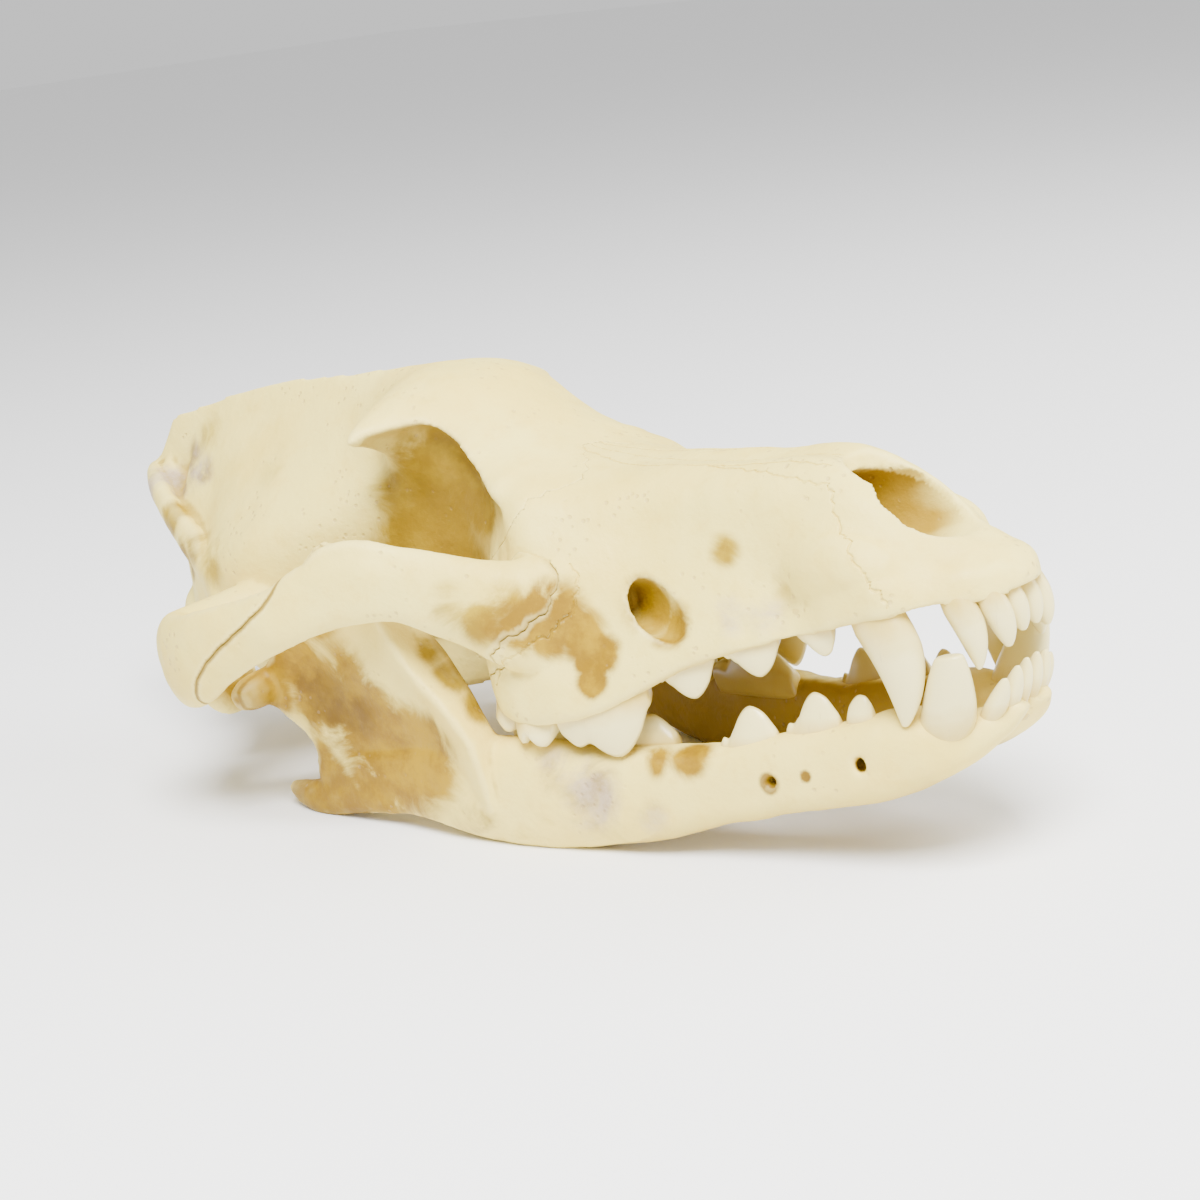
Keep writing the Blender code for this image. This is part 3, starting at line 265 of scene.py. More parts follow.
def blade_rings(count=60, around=40):
    """Sections of the lower jaw's blade from its foot up, thick at both edges and thin between."""
    z = np.linspace(BLADE_FRONT[0][0], BLADE_FRONT[-1][0], count)
    front, rear, middle = (through(k, z) for k in (BLADE_FRONT, BLADE_REAR, BLADE_MIDDLE))
    angle = np.linspace(0, 2 * np.pi, around, endpoint=False)
    back = (1 - np.cos(angle)) / 2
    rim = np.sqrt(np.clip(1 - (2 * back - 1) ** 2, 0, 1))
    web = (BLADE_WEB + BLADE_FRONT_EDGE * np.exp(-((back / BLADE_FRONT_SHARE) ** 2))
           + BLADE_REAR_EDGE * np.exp(-(((1 - back) / BLADE_REAR_SHARE) ** 2)))
    thinning = np.clip(1 - (z - BLADE_THINS_ABOVE) / BLADE_THINNING_HEIGHT, BLADE_TIP_SHARE, 1)
    half = np.minimum(rim * 6, 1)[None] * web[None] * thinning[:, None]
    x = front * (1 - back)[None] + rear * back[None]
    y = middle - np.sign(np.sin(angle))[None] * half
    return np.stack([x, y, np.broadcast_to(z[:, None], x.shape)], -1)


# Round lumps on the right side, each (x, y, z) and three radii.
EAR_DRUM = ((-212, -20, 13), (14, 10.5, 11))
NECK_KNUCKLE = ((-250, -12.5, 21.5), (10, 8, 10.5))
HINGE_STOP = ((-205.5, -49, 10), (3.8, 9, 8))
CANINE_SWELLING = ((-34, -17.5, 12), (17, 6, 8))
# The sloping plate at the back of the head, each knot (z, x, half-depth, half-width).
NAPE_PLATE = [(65, -267, 3, 3), (57, -260, 4, 10), (48, -250, 6, 16), (40, -243, 8, 21),
              (30, -238, 9, 25), (20, -236, 9, 28), (12, -236, 6, 25)]
# Openings, as paths and lumps that are cut away
NOSE_OPENING = [(12, 0, 24, 11.5, 8.6), (-10, 0, 22.8, 11, 8.6), (-24, 0, 22, 10.6, 9.2),
                (-38, 0, 21.5, 8.6, 9.5), (-50, 0, 21.5, 6, 8), (-58, 0, 21.5, 3, 5)]
NOSE_NOTCH = ((-19.5, 0, 34), (16, 10, 9))
SPINAL_OPENING = ((-260, 0, 26), (26, 10, 8.5))
THROAT_OPENING = ((-134, 0, 9), (16, 7.5, 6))
CHEEK_FORAMEN = [(-62, -29.8, 7, 1.5, 3.5), (-68, -29.8, 8.5, 2.6, 5.4), (-74, -28.6, 10.5, 3.6, 6.4),
                 (-79, -26.8, 12, 3.8, 6.4), (-85, -24, 12.6, 2.8, 5), (-92, -21.5, 13, 1.8, 3.6)]
EAR_OPENING = [(-203, -40, 21, 3.4, 3.4), (-206, -28, 20, 3, 3), (-207, -24, 20, 2, 2)]

# Side view of the cheekbone, each corner (x, z), and how far out from the middle it starts
CHEEKBONE_CORNERS = [(-96, 24), (-113, 39), (-122, 46), (-150, 60), (-158, 35), (-163, 30.5),
                     (-172, 26), (-181, 22), (-189.5, 16.5), (-193.4, 11.5), (-194, 6), (-192, -12),
                     (-140, -12), (-132, 2), (-121, 3.5), (-115.5, 4.5), (-114, 9), (-110, 12),
                     (-103, 14), (-98, 18)]
CHEEKBONE_INNER = 34
CHEEKBONE_OUTER = 90
# The suture between the face and the braincase: how far back it lies over the brow, how much
# further back between the nasal bones and beside the orbit, with the widths and the place across
# at which those begin, how far back it lies at the palate, and the height of its waves
BROW_SUTURE = -99
NASAL_SUTURE_EXTRA = 10
PALATE_SUTURE = -131
ORBIT_SUTURE_EXTRA = 9
NASAL_SUTURE_WIDTH = 9
ORBIT_SUTURE_START = 18
ORBIT_SUTURE_WIDTH = 14
SUTURE_WAVE = 0.7
SUTURE_TOP = 38
SUTURE_BOTTOM = 22
# The square in which that suture is worked out: its half-width, its middle height and its steps
SUTURE_REACH = 70
SUTURE_MIDDLE = 30
SUTURE_STEPS = 71

# Cross-section of a cutting tooth and of a grinding tooth: (share of the half-width towards the
# cheek, share of the crown's height). A height of None is the sunken root.
BLADE_SECTION = [(-0.5, None), (-1.0, 0.0), (-0.85, 0.4), (-0.15, 1.0), (0.15, 1.0),
                 (0.85, 0.4), (1.0, 0.0), (0.5, None)]
GRINDER_SECTION = [(-0.5, None), (-1.0, 0.1), (-0.9, 0.4), (-0.55, 0.62), (-0.1, 0.45),
                   (0.5, 1.0), (0.9, 0.6), (1.0, 0.1), (0.5, None)]
# How deep a root is sunk, how wide a front tooth's root is as a share of its crown, the power
# that rounds a cusp, and the height of the collar at the gum as a share of the crown
ROOT_DEPTH = 6.0
ROOT_SHARE = 0.55
CUSP_ROUNDNESS = 1.75
COLLAR_SHARE = 0.3
# How far a cheek tooth's cusps lean towards the cheek, as a share of its half-width
UPPER_LEAN = 0.45
LOWER_LEAN = -0.1
# Cheek teeth: name, front (x, y, z), rear (x, y, z), half-width, crown height, cusps (share of
# the length from the front, share of the height, share of the length it spreads), section.
UPPER_CHEEK_TEETH = [
    ("first_premolar", (-35.8, 19.4, 1.6), (-45, 20, 1.2), 2.3, 6.2,
     [(0.34, 1, 0.6), (0.8, 0.4, 0.3)], BLADE_SECTION),
    ("second_premolar", (-50, 20.6, 1), (-64.5, 23.2, 0.2), 2.7, 8.2,
     [(0.42, 1, 0.5), (0.76, 0.5, 0.18), (0.93, 0.4, 0.12)], BLADE_SECTION),
    ("third_premolar", (-66.5, 23.9, -0.4), (-81.5, 27.6, -2.4), 2.9, 9.0,
     [(0.42, 1, 0.5), (0.74, 0.52, 0.18), (0.93, 0.42, 0.12)], BLADE_SECTION),
    ("carnassial", (-82.5, 30.2, -7), (-106.4, 36.6, -9.2), 4.0, 12.6,
     [(0.42, 1, 0.46), (0.8, 0.64, 0.4), (0.1, 0.36, 0.14)], BLADE_SECTION),
    ("first_molar", (-106.8, 33.6, -9.4), (-119.4, 33.4, -8.8), 7.4, 7.2,
     [(0.27, 1, 0.34), (0.74, 0.86, 0.34)], GRINDER_SECTION),
    ("second_molar", (-119.8, 32.4, -8), (-127, 31.4, -5.4), 5.6, 5.6,
     [(0.35, 1, 0.5), (0.8, 0.7, 0.4)], GRINDER_SECTION),
]
LOWER_CHEEK_TEETH = [
    ("first_premolar", (-33, 16.8, -19.6), (-39.4, 18, -20.4), 2.1, 5.4,
     [(0.4, 1, 0.8)], BLADE_SECTION),
    ("second_premolar", (-41, 18.4, -21), (-54.4, 20.8, -21.8), 2.5, 8.8,
     [(0.36, 1, 0.5), (0.72, 0.44, 0.18), (0.93, 0.4, 0.12)], BLADE_SECTION),
    ("third_premolar", (-56.5, 21.4, -22.4), (-71, 24.6, -23.4), 2.8, 9.2,
     [(0.38, 1, 0.5), (0.7, 0.5, 0.18), (0.92, 0.42, 0.12)], BLADE_SECTION),
    ("carnassial", (-84, 23.4, -20.6), (-112, 27.8, -18), 3.8, 11,
     [(0.2, 0.62, 0.3), (0.47, 1, 0.36), (0.85, 0.36, 0.3)], BLADE_SECTION),
    ("second_molar", (-113, 29.4, -17), (-121, 31, -15), 3.5, 2.8, [(0.3, 1, 0.9)], BLADE_SECTION),
    ("third_molar", (-122.5, 31.6, -14), (-126, 32.4, -13), 2.2, 2.2, [(0.5, 1, 1.0)], BLADE_SECTION),
]
# Front teeth: name, base (x, y, z), tip (x, y, z), half-length, half-width, bow forward, how
# squarely the crown keeps its width towards the tip, and how blunt the tip is.
UPPER_FRONT_TEETH = [
    ("first_incisor", (-2.2, 2.9, 2.6), (-0.4, 2.7, -7.5), 3.2, 2.5, 0.6, 2.6, 0.1),
    ("second_incisor", (-3.6, 8.0, 2.6), (-1.2, 8.0, -9.4), 3.6, 2.9, 0.8, 2.4, 0.1),
    ("third_incisor", (-8.6, 12.2, 2.4), (-6.4, 12.9, -12.6), 4.1, 3.3, 1.2, 1.9, 0.05),
    ("canine", (-24.8, 18.6, 2.4), (-23.6, 19.8, -22.2), 7.4, 4.8, 3.0, 1.6, 0.04),
]
LOWER_FRONT_TEETH = [
    ("first_incisor", (-6.5, 2.2, -23), (-1.6, 2.1, -13.2), 2.6, 1.8, 0.3, 2.6, 0.1),
    ("second_incisor", (-7.5, 5.6, -23.6), (-1.8, 5.8, -13.8), 2.9, 2.1, 0.3, 2.4, 0.1),
    ("third_incisor", (-9.8, 8.8, -24.6), (-3.2, 9.4, -15.4), 3.2, 2.5, 0.3, 2.2, 0.1),
    ("canine", (-17.6, 13.8, -25.2), (-9.8, 17.6, -7.2), 7.0, 4.8, 0.3, 1.7, 0.42),
]

# The camera, in the skull's own frame: degrees, millimetres, and shifts as shares of the width
CAMERA_TARGET = (-130, 0, 15)
CAMERA_AZIMUTH = 44.1008
CAMERA_ELEVATION = 7.7685
CAMERA_ROLL = -14.9778
CAMERA_DISTANCE = 577.0188
CAMERA_LENS = 69.9293
CAMERA_SHIFT = (0.0326, -0.0139)
# Half the length of the floor's side, and how many points its mesh has along it
FLOOR_HALF = 6000
FLOOR_POINTS = 25
# The lamps: place in metres, width in metres and share of the key's power
LAMPS = {"key": ((0.45, -0.45, 1.05), 0.6, 1.0), "fill": ((0.7, 0.7, 0.7), 0.9, 0.3)}


def loft_faces(rings):
    """Points and faces of a closed solid through rings of points, each end closed on its middle."""
    count, around, _ = rings.shape
    points = np.concatenate([rings.reshape(-1, 3), rings[:1].mean(1), rings[-1:].mean(1)])
    index = np.arange(count * around).reshape(count, around)
    after = np.roll(index, -1, 1)
    walls = np.stack([index[:-1], after[:-1], after[1:], index[1:]], -1).reshape(-1, 4)
    first, last = count * around, count * around + 1
    caps = np.concatenate([
        np.stack([np.full(around, first), after[0], index[0]], -1),
        np.stack([np.full(around, last), index[-1], after[-1]], -1)])
    return points, [tuple(face) for face in walls.tolist() + caps.tolist()]


def jaw_openings():
    """The nerve holes in the right side of the lower jaw."""
    return [swept_rings(path, count=24, around=16) for path in NERVE_HOLES.values()]


def rest_on_floor(jaw):
    """Levels the lowest points of a jaw that stands in the part's frame at the floor."""
    points = points_of(jaw.data)
    points[:, 2] = np.maximum(points[:, 2], 0)
    put_points(jaw.data, points)


def crown_profile(share, cusps):
    """Height of a cheek tooth's crown along its length, as a share, with a low collar."""
    height = COLLAR_SHARE + 0 * share
    for place, tall, spread in cusps:
        slope = np.clip(1 - (np.abs(share - place) / spread) ** CUSP_ROUNDNESS, 0, 1)
        height = np.maximum(height, tall * slope)
    return height


def cheek_tooth_rings(front, rear, half_width, crown, cusps, section, down, stations=8):
    """Sections of a premolar or molar from its front to its rear, its cusps pointing down or up."""
    share = np.linspace(0, 1, stations)
    for peak in sorted(place for place, tall, spread in cusps):
        share[1 + np.argmin(np.abs(share[1:-1] - peak))] = peak
    front, rear = np.array(front, float), np.array(rear, float)
    middle = front + (rear - front) * share[:, None]
    along = (rear - front) / np.linalg.norm(rear - front)
    across = np.cross(along, (0, 0, 1))
    across *= np.sign(across[1]) / np.linalg.norm(across)
    belly = np.clip(np.sin(np.pi * (0.08 + 0.84 * share)), 0, 1) ** 0.5
    height = crown * crown_profile(share, cusps) * np.clip(belly * 1.3, 0, 1)
    toward = -1.0 if down else 1.0
    lean = UPPER_LEAN if down else LOWER_LEAN
    ring = []
    for reach, level in section:
        rise = -toward * ROOT_DEPTH + 0 * height if level is None else toward * level * height
        reach += 0 if level is None else lean * level
        place = middle + across * (reach * half_width * belly)[:, None]
        place[:, 2] += rise
        ring.append(place)
    return np.stack(ring, 1)


def front_tooth_rings(base, tip, half_length, half_width, bow, square, blunt, stations=6, around=8):
    """Sections of an incisor or canine: a bowed cone from its sunken root to its tip."""
    base, tip = np.array(base, float), np.array(tip, float)
    height = np.linalg.norm(tip - base)
    share = np.concatenate([[-ROOT_DEPTH / height, 0], np.linspace(0.25, 0.98, stations - 2)])
    rise = np.clip(share, 0, 1)
    path = base + (tip - base) * share[:, None]
    path[:, 0] += 4 * bow * rise * (1 - rise)
    taper = blunt + (1 - blunt) * (1 - rise ** square) ** 0.8
    taper = np.where(share < 0, ROOT_SHARE, taper)
    angle = np.linspace(0, 2 * np.pi, around, endpoint=False)
    ahead = np.array([half_length, 0.0, 0.0])
    side = np.array([0.0, half_width, 0.0])
    return (path[:, None] + ahead * (taper[:, None] * np.cos(angle))[..., None]
            + side * (taper[:, None] * np.sin(angle))[..., None])


def mirrored(rings):
    """The same sections on the other side of the head."""
    flipped = rings[:, ::-1].copy()
    flipped[..., 1] *= -1
    return flipped


def add_mesh(name, points, faces, collection):
    """A mesh object in a collection from points in millimetres, its faces turned outward."""
    mesh = bpy.data.meshes.new(name)
    mesh.from_pydata((np.asarray(points) / 1000).tolist(), [], faces)
    shape = bmesh.new()
    shape.from_mesh(mesh)
    bmesh.ops.recalc_face_normals(shape, faces=shape.faces)
    shape.to_mesh(mesh)
    shape.free()
    obj = bpy.data.objects.new(name, mesh)
    collection.objects.link(obj)
    return obj


def add_loft(name, rings, collection):
    """A closed solid through rings of points, each end closed on its middle."""
    return add_mesh(name, *loft_faces(rings), collection)


def add_collection(name):
    """A collection under the scene's own."""
    collection = bpy.data.collections.new(name)
    bpy.context.scene.collection.children.link(collection)
    return collection


def bake(obj):
    """Replaces an object's mesh by what its modifiers make of it."""
    bpy.context.view_layer.update()
    evaluated = obj.evaluated_get(bpy.context.evaluated_depsgraph_get())
    mesh = bpy.data.meshes.new_from_object(evaluated)
    obj.modifiers.clear()
    obj.data = mesh


def keep_largest(obj):
    """Deletes every loose surface of the mesh but the one with the largest volume."""
    shape = bmesh.new()
    shape.from_mesh(obj.data)
    waiting = set(shape.faces)
    groups = []
    while waiting:
        group = {waiting.pop()}
        edge_of_group = list(group)
        while edge_of_group:
            face = edge_of_group.pop()
            for edge in face.edges:
                for near in edge.link_faces:
                    if near in waiting:
                        waiting.discard(near)
                        group.add(near)
                        edge_of_group.append(near)
        groups.append(group)
    sizes = [abs(sum(face.calc_area() * face.normal.dot(face.calc_center_median())
                     for face in group)) for group in groups]
    largest = groups[int(np.argmax(sizes))]
    others = [face for face in shape.faces if face not in largest]
    bmesh.ops.delete(shape, geom=others, context="FACES")
    shape.to_mesh(obj.data)
    shape.free()


def drop(objects):
    """Removes objects from the file."""
    for obj in list(objects):
        bpy.data.objects.remove(obj, do_unlink=True)


def join_or_cut(obj, others, operation):
    """Applies one Boolean of a collection's closed meshes to an object, then empties it."""
    modifier = obj.modifiers.new(operation.lower(), "BOOLEAN")
    modifier.operation = operation
    modifier.operand_type = "COLLECTION"
    modifier.collection = others
    modifier.solver = "MANIFOLD"
    bake(obj)
    drop(others.objects)


def split_off(obj, name, region, grown_region, parts):
    """Moves what lies in the region into a new object, and leaves a thin cut along its edge."""
    piece = obj.copy()
    piece.data = obj.data.copy()
    piece.name = name
    parts.objects.link(piece)
    for target, cutter, operation in ((piece, region, "INTERSECT"),
                                      (obj, grown_region, "DIFFERENCE")):
        modifier = target.modifiers.new("suture", "BOOLEAN")
        modifier.operation = operation
        modifier.object = cutter
        modifier.solver = "MANIFOLD"
        bake(target)
        keep_largest(target)
    drop([region, grown_region])
    return piece


def cheekbone_region(side, grow, cutters):
    """The space that one cheekbone fills: its outline in side view, carried outward."""
    outline = np.array(CHEEKBONE_OUTLINE, float)
    ahead = np.roll(outline, -1, 0) - outline
    normal = np.stack([-ahead[:, 1], ahead[:, 0]], -1)
    normal /= np.linalg.norm(normal, axis=1, keepdims=True)
    bisector = normal + np.roll(normal, 1, 0)
    bisector /= (bisector * normal).sum(1, keepdims=True)
    area = outline[:, 0] * np.roll(outline[:, 1], -1) - np.roll(outline[:, 0], -1) * outline[:, 1]
    outline = outline - np.sign(area.sum()) * grow * bisector
    count = len(outline)
    points = []
    for reach in (CHEEKBONE_INNER - grow, CHEEKBONE_OUTER):
        points += [(x, side * reach, z) for x, z in outline]
    faces = [tuple(range(count)), tuple(range(2 * count - 1, count - 1, -1))]
    faces += [(i, (i + 1) % count, count + (i + 1) % count, count + i) for i in range(count)]
    return add_mesh("cheekbone_region", points, faces, cutters)


def suture_between(y, z):
    """How far forward the suture between face and braincase lies at a height and a side."""
    aside = np.clip((np.abs(y) - ORBIT_SUTURE_START) / ORBIT_SUTURE_WIDTH, 0, 1)
    middle = np.exp(-((y / NASAL_SUTURE_WIDTH) ** 2))
    brow = BROW_SUTURE - NASAL_SUTURE_EXTRA * middle - ORBIT_SUTURE_EXTRA * aside
    low = np.clip((SUTURE_TOP - z) / (SUTURE_TOP - SUTURE_BOTTOM), 0, 1)
    low = low * low * (3 - 2 * low)
    return brow + (PALATE_SUTURE - brow) * low + SUTURE_WAVE * np.sin(1.3 * y + 0.4 * z)


def face_region(grow, cutters):
    """The space in front of the suture between the face and the braincase."""
    across = np.linspace(-SUTURE_REACH, SUTURE_REACH, SUTURE_STEPS)
    y, z = np.meshgrid(across, across + SUTURE_MIDDLE, indexing="ij")
    back = suture_between(y, z)
    slope = np.gradient(back, across[1] - across[0])
    back = back - grow * np.sqrt(1 + slope[0] ** 2 + slope[1] ** 2)
    front = np.full_like(y, SUTURE_REACH)
    points = np.concatenate([np.stack([x, y, z], -1).reshape(-1, 3) for x in (back, front)])
    index = np.arange(y.size).reshape(y.shape)
    a, b, c, d = (k.ravel() for k in (index[:-1, :-1], index[:-1, 1:],
                                      index[1:, 1:], index[1:, :-1]))
    sheet = np.concatenate([np.stack([a, b, c], -1), np.stack([a, c, d], -1)])
    rim = np.concatenate([index[:-1, 0], index[-1, :-1], index[:0:-1, -1], index[0, :0:-1]])
    after = np.roll(rim, -1)
    wall = np.concatenate([np.stack([rim, after, after + y.size], -1),
                           np.stack([rim, after + y.size, rim + y.size], -1)])
    faces = np.concatenate([sheet, sheet[:, ::-1] + y.size, wall]).tolist()
    return add_mesh("face_region", points, faces, cutters)


# Stains in the bone, and among them spots of painted shade: for each colour, points (x, y, z), each one's
# reach and its strength
STAIN_AND_SHADE_SPOTS = {
    "ochre": [
        # The ochre spots inside the orbit, at x -130 to -160 and y -14 to -22, and the three at y -39 on
        # the medial ridge at the front of the jaw's blade are painted shade; the others are stains
        (-243, -1.2, 69.6, 9, 0.5), (-237, -1.4, 64, 7, 0.5), (-247.6, -20.9, 50.7, 7, 0.8),
        (-232, -26.9, 43.5, 7, 0.5), (-240, -24, 40, 6, 0.9), (-157.5, -16.9, 32, 14, 0.9),
        (-149, -15.3, 34, 12, 0.9), (-146, -16, 24, 12, 0.9), (-107, -43.7, 21.3, 7, 0.6),
        (-118.7, -48.8, 22.6, 9, 0.5), (-113, -46.4, 17.8, 8, 0.6), (-59.7, -19.6, 21.3, 5, 0.5),
        (-203, -61, 18, 9, 0.3), (-178, -66, 22, 7, 0.25), (-133, -17, 40, 14, 0.5),
        (-141, -39, 10, 6, 0.9), (-136.5, -39, 2, 6, 0.9), (-132, -38.5, -6, 6, 0.8),
        (-205, -20, 60, 12, 0.35),
        (-160, -12, 62, 9, 0.3), (-120, -26, 40, 10, 0.3), (-220, -30, 38, 10, 0.45),
        (-143, -18, 52, 14, 0.8), (-137, -16, 46, 13, 0.8), (-150, -15, 38, 14, 0.9),
        (-158, -17, 43, 12, 0.6), (-132, -17, 41, 12, 0.7), (-148, -22, 57, 8, 0.6),
    ],
    "orange": [
        (-110, -44, 15, 6, 0.6), (-104.8, -42.5, 14.8, 8, 0.8), (-97.4, -38, 14.7, 9, 0.95),
        (-93, -36, 10, 7, 0.95), (-92, -36, 3, 4.5, 1.0),
        (-91, -36, 7.6, 5, 1.0), (-92.2, -38, -0.9, 4, 1.0), (-82.3, -24, 11.7, 8, 0.8),
        (-73.4, -28.2, 7.8, 6, 0.8), (-76.2, -29.6, -22.2, 6, 0.8), (-84, -32, -21, 6, 0.6),
        (-172.3, -45.3, 4.6, 15, 1.0), (-164, -44.5, -4.1, 15, 1.0), (-178.6, -46.6, 13.3, 12, 0.9),
        (-150, -44, -12.8, 14, 1.0), (-159.4, -45.5, -16, 16, 0.95), (-186.6, -45.3, -20.8, 14, 1.0),
        (-179.5, -45.9, -23.7, 10, 1.0), (-172, -46, 24, 12, 0.7),
        (-195, -50, 8, 12, 0.9), (-186, -48, 14, 10, 0.8), (-206, -55, 12, 7, 0.6),
        (-100, -39, 12, 7, 0.85), (-90, -34.7, 5.2, 5.5, 0.9), (-95, -36, 12, 6, 0.9),
    ],
    "lilac": [
        (-253, -7.1, 54, 8, 0.7), (-258, -6, 60, 7, 0.6), (-247, -8, 60, 6, 0.5),
        (-100.8, -37.2, -27, 13, 0.5), (-108.3, -38.7, -21, 10, 0.4), (-88, -36, -36, 9, 0.35),
        (-262, -9, 60, 8, 0.6), (-251, -5, 65, 8, 0.5), (-243, -10, 60, 8, 0.45),
        (-50, -22, 8, 9, 0.35), (-60, -24, 8, 8, 0.35),
    ],
    "brown": [
        (-174, -45.3, 3, 9, 0.75), (-166, -45, -3, 7, 0.6), (-182, -46, 9, 6, 0.5),
        # The brown spots at y 23 to 33 on the inner sides of the jaws, the one at (-152, -14, 28) in the
        # orbit and the two at the chin's nerve holes are painted shade; the three on the blade are stains
        (-124, 30, -31, 16, 0.8), (-133, 33, -30, 16, 0.8), (-100, 27, -32, 14, 0.7),
        (-80, 23, -30, 12, 0.6), (-152, -14, 28, 8, 0.6),
        (-57.5, -27.5, -30.5, 2.4, 0.9), (-48.4, -25.6, -29.7, 1.6, 0.7),
    ],
}
# How strong the mirror image of a stain or of a spot of painted shade is, as a share
MIRRORED_SHARE = 0.6

# Low swellings and hollows of the surface, alike on both sides: point (x, y, z), reach and height
SWELLS = [
    (-20, -20.5, 9, 5, 1.1), (-25, -20, 14, 5.5, 1.6), (-31, -18.5, 18, 6, 1.8),
    (-38, -17, 22, 6, 1.0),
    (-46, -21, 9, 7, -1.8), (-50, -21, 14, 8, -1.2), (-47, -16, 29, 6, 0.9), (-60, -17, 30, 7, 0.9),
    (-52, -23.9, 3, 2.6, 0.5), (-60, -25.4, 2.6, 2.6, 0.5), (-56, -24, 4, 3, -0.5),
    (-69, -26.6, 1, 2.8, 0.5), (-78, -28, 0, 2.8, 0.5), (-73.5, -27, 1, 2.4, -0.5),
    (-86, -33, 0, 4, 0.7), (-102, -38.5, -2, 5, 0.7), (-94, -36.5, 2, 4, -0.6),
    (-14, -16, 9, 5, -1.5), (-9, -12, 11, 4.5, -1.4), (-4, -7, 10, 3, -0.5), (-17, -14.5, 16, 4, 0.5),
    (-7, -10, 5, 2.6, 0.5), (-3, -5, 4, 2.2, 0.4), (-13, -15, 4, 3, 0.5),
    (-81, -21, 31, 9, -1.1), (-97, -32, 24, 8, 1.0), (-88, -24, 33, 8, 0.5), (-106, -34, 33, 4, 0.8),
    (-102, -40, 10, 4, -0.7), (-108, -42.5, 6, 5, -0.5), (-136, -56, 35, 4, 0.5),
    (-150, -62, 33, 5, -0.5), (-165, -66, 27, 5, 0.5), (-206, -34, 30, 12, 0.6), (-219, -24, 48, 12, 1.2),
    (-199, -26, 50, 12, 0.8), (-238, -15, 56, 8, -1.0), (-246, -8, 66, 7, -0.8),
    (-176, -20, 52, 9, -0.8),
    (-76, -28, -20, 4, -1.2), (-82, -29.5, -20, 3.5, -0.9), (-100, -37, -24, 7, 0.5),
    (-70, -28, -33, 8, -0.5), (-24, -17, -28, 5, 0.8), (-31, -20, -24, 4, 0.5),
    (-168, -46, 0, 9, -0.8), (-152, -45, -13, 8, -0.8), (-178, -46, 10, 6, -0.6),
]

# Sutures and seams that show as fine lines: knots (x, y, z), how far they wander and how often
SEAMS = {
    "nasal_middle": ([(-36, 0, 37), (-60, 0, 38), (-85, 0, 41), (-108, 0, 48)], 0.15, 4.0),
    "nasal_edge": ([(-34, -9, 35), (-50, -8.5, 37.4), (-70, -8.2, 38.9), (-90, -7, 42),
                    (-108, -3, 48)], 0.25, 5.0),
    "incisive": ([(-33, -12.5, 31), (-30, -17, 24), (-26, -20, 17), (-21, -22, 10),
                  (-18, -23, 5)], 0.45, 2.9),
    "incisive_upper": ([(-33, -12.5, 31), (-44, -12, 33.4), (-58, -10, 36.6),
                        (-70, -8.4, 38.8)], 0.3, 4.0),
    "cheek_to_face": ([(-96, -30, 24), (-94, -33, 18), (-98, -38, 12), (-108, -41, 9), (-116, -42, 6),
                       (-121, -42, 1)], 0.5, 3.3),
}

# The painted shade in the seam of the cheekbone: how far it reaches, the least height at which it lies,
# its share at the face, and where it starts to grow and is full along x
SEAM_REACH = 0.65
SEAM_ABOVE = 3
SEAM_FACE_SHARE = 0.4
SEAM_GROWS = (-140, -160)
# How often the corners of the cheekbone's outline are cut off, and how it then wanders across
# its run: the height, the share of it at the rear, the places along x where it starts to grow
# and is full, and the pace and share of each of its two waves
CORNER_ROUNDS = 3
WANDER = 0.45
WANDER_REAR_SHARE = 0.2
WANDER_GROWS = (-140, -120)
WANDER_WAVES = ((0.7, 1.0), (1.9, 0.5))
# The groove of a suture: its half-width, its half-height in half-widths, and the length of a step
GROOVE_RADIUS = 0.22
GROOVE_TALLNESS = 1.6
GROOVE_STEP = 0.5
# The three noises that make a bone uneven: the size in millimetres and the share of each
UNEVENNESS = ((11, 1.0), (4.5, 0.5), (1.9, 0.28))
# Depth under the neighbours' mean, in millimetres, at which the painted shade of a hollow shows in full,
# and the painted highlight of a ridge at that height above the mean
FULL_HOLLOW = 0.35
# Where shade is painted on surfaces inside the head that are turned away from the light: between which
# values of z or x the mouth sets in downward, backward and forward, between which distances from the
# middle and values of x the nose does, how far back and down it goes, the thickness of its roof, where
# the palate and the inner sides of the teeth set in, and the centre (x, z), half-length, half-height and
# outer limit of the orbit
MOUTH_DOWN = (-7, -12)
MOUTH_BACK = (-16, -26)
MOUTH_FORWARD = (-168, -148)
NOSE_INWARD = (11.5, 9.5)
NOSE_BACK = (-12, -24)
NOSE_END = -62
NOSE_FLOOR = 12
NOSE_ROOF = 3.2
PALATE_BACK = (-12, -22)
TEETH_BACK = (-28, -40)
ORBIT_SHADE = ((-146, 34), (26, 25), 33)

# Small holes for nerves and blood, each knot of a path (x, y, z, radius, radius)
NERVE_HOLES = {
    "chin_front": [(-34, -26, -28, 1.5, 2.2), (-37, -20, -29.5, 1.3, 1.8), (-41, -17, -30, 1, 1.2)],
    "chin_rear": [(-57, -30, -30, 1.3, 1.4), (-58, -24, -30.4, 1.2, 1.2), (-61, -21, -30.6, 0.8, 0.8)],
    "chin_small": [(-48, -28, -29.5, 0.6, 0.7), (-48.6, -24, -29.6, 0.5, 0.5),
                   (-49, -22, -29.6, 0.4, 0.4)],
}


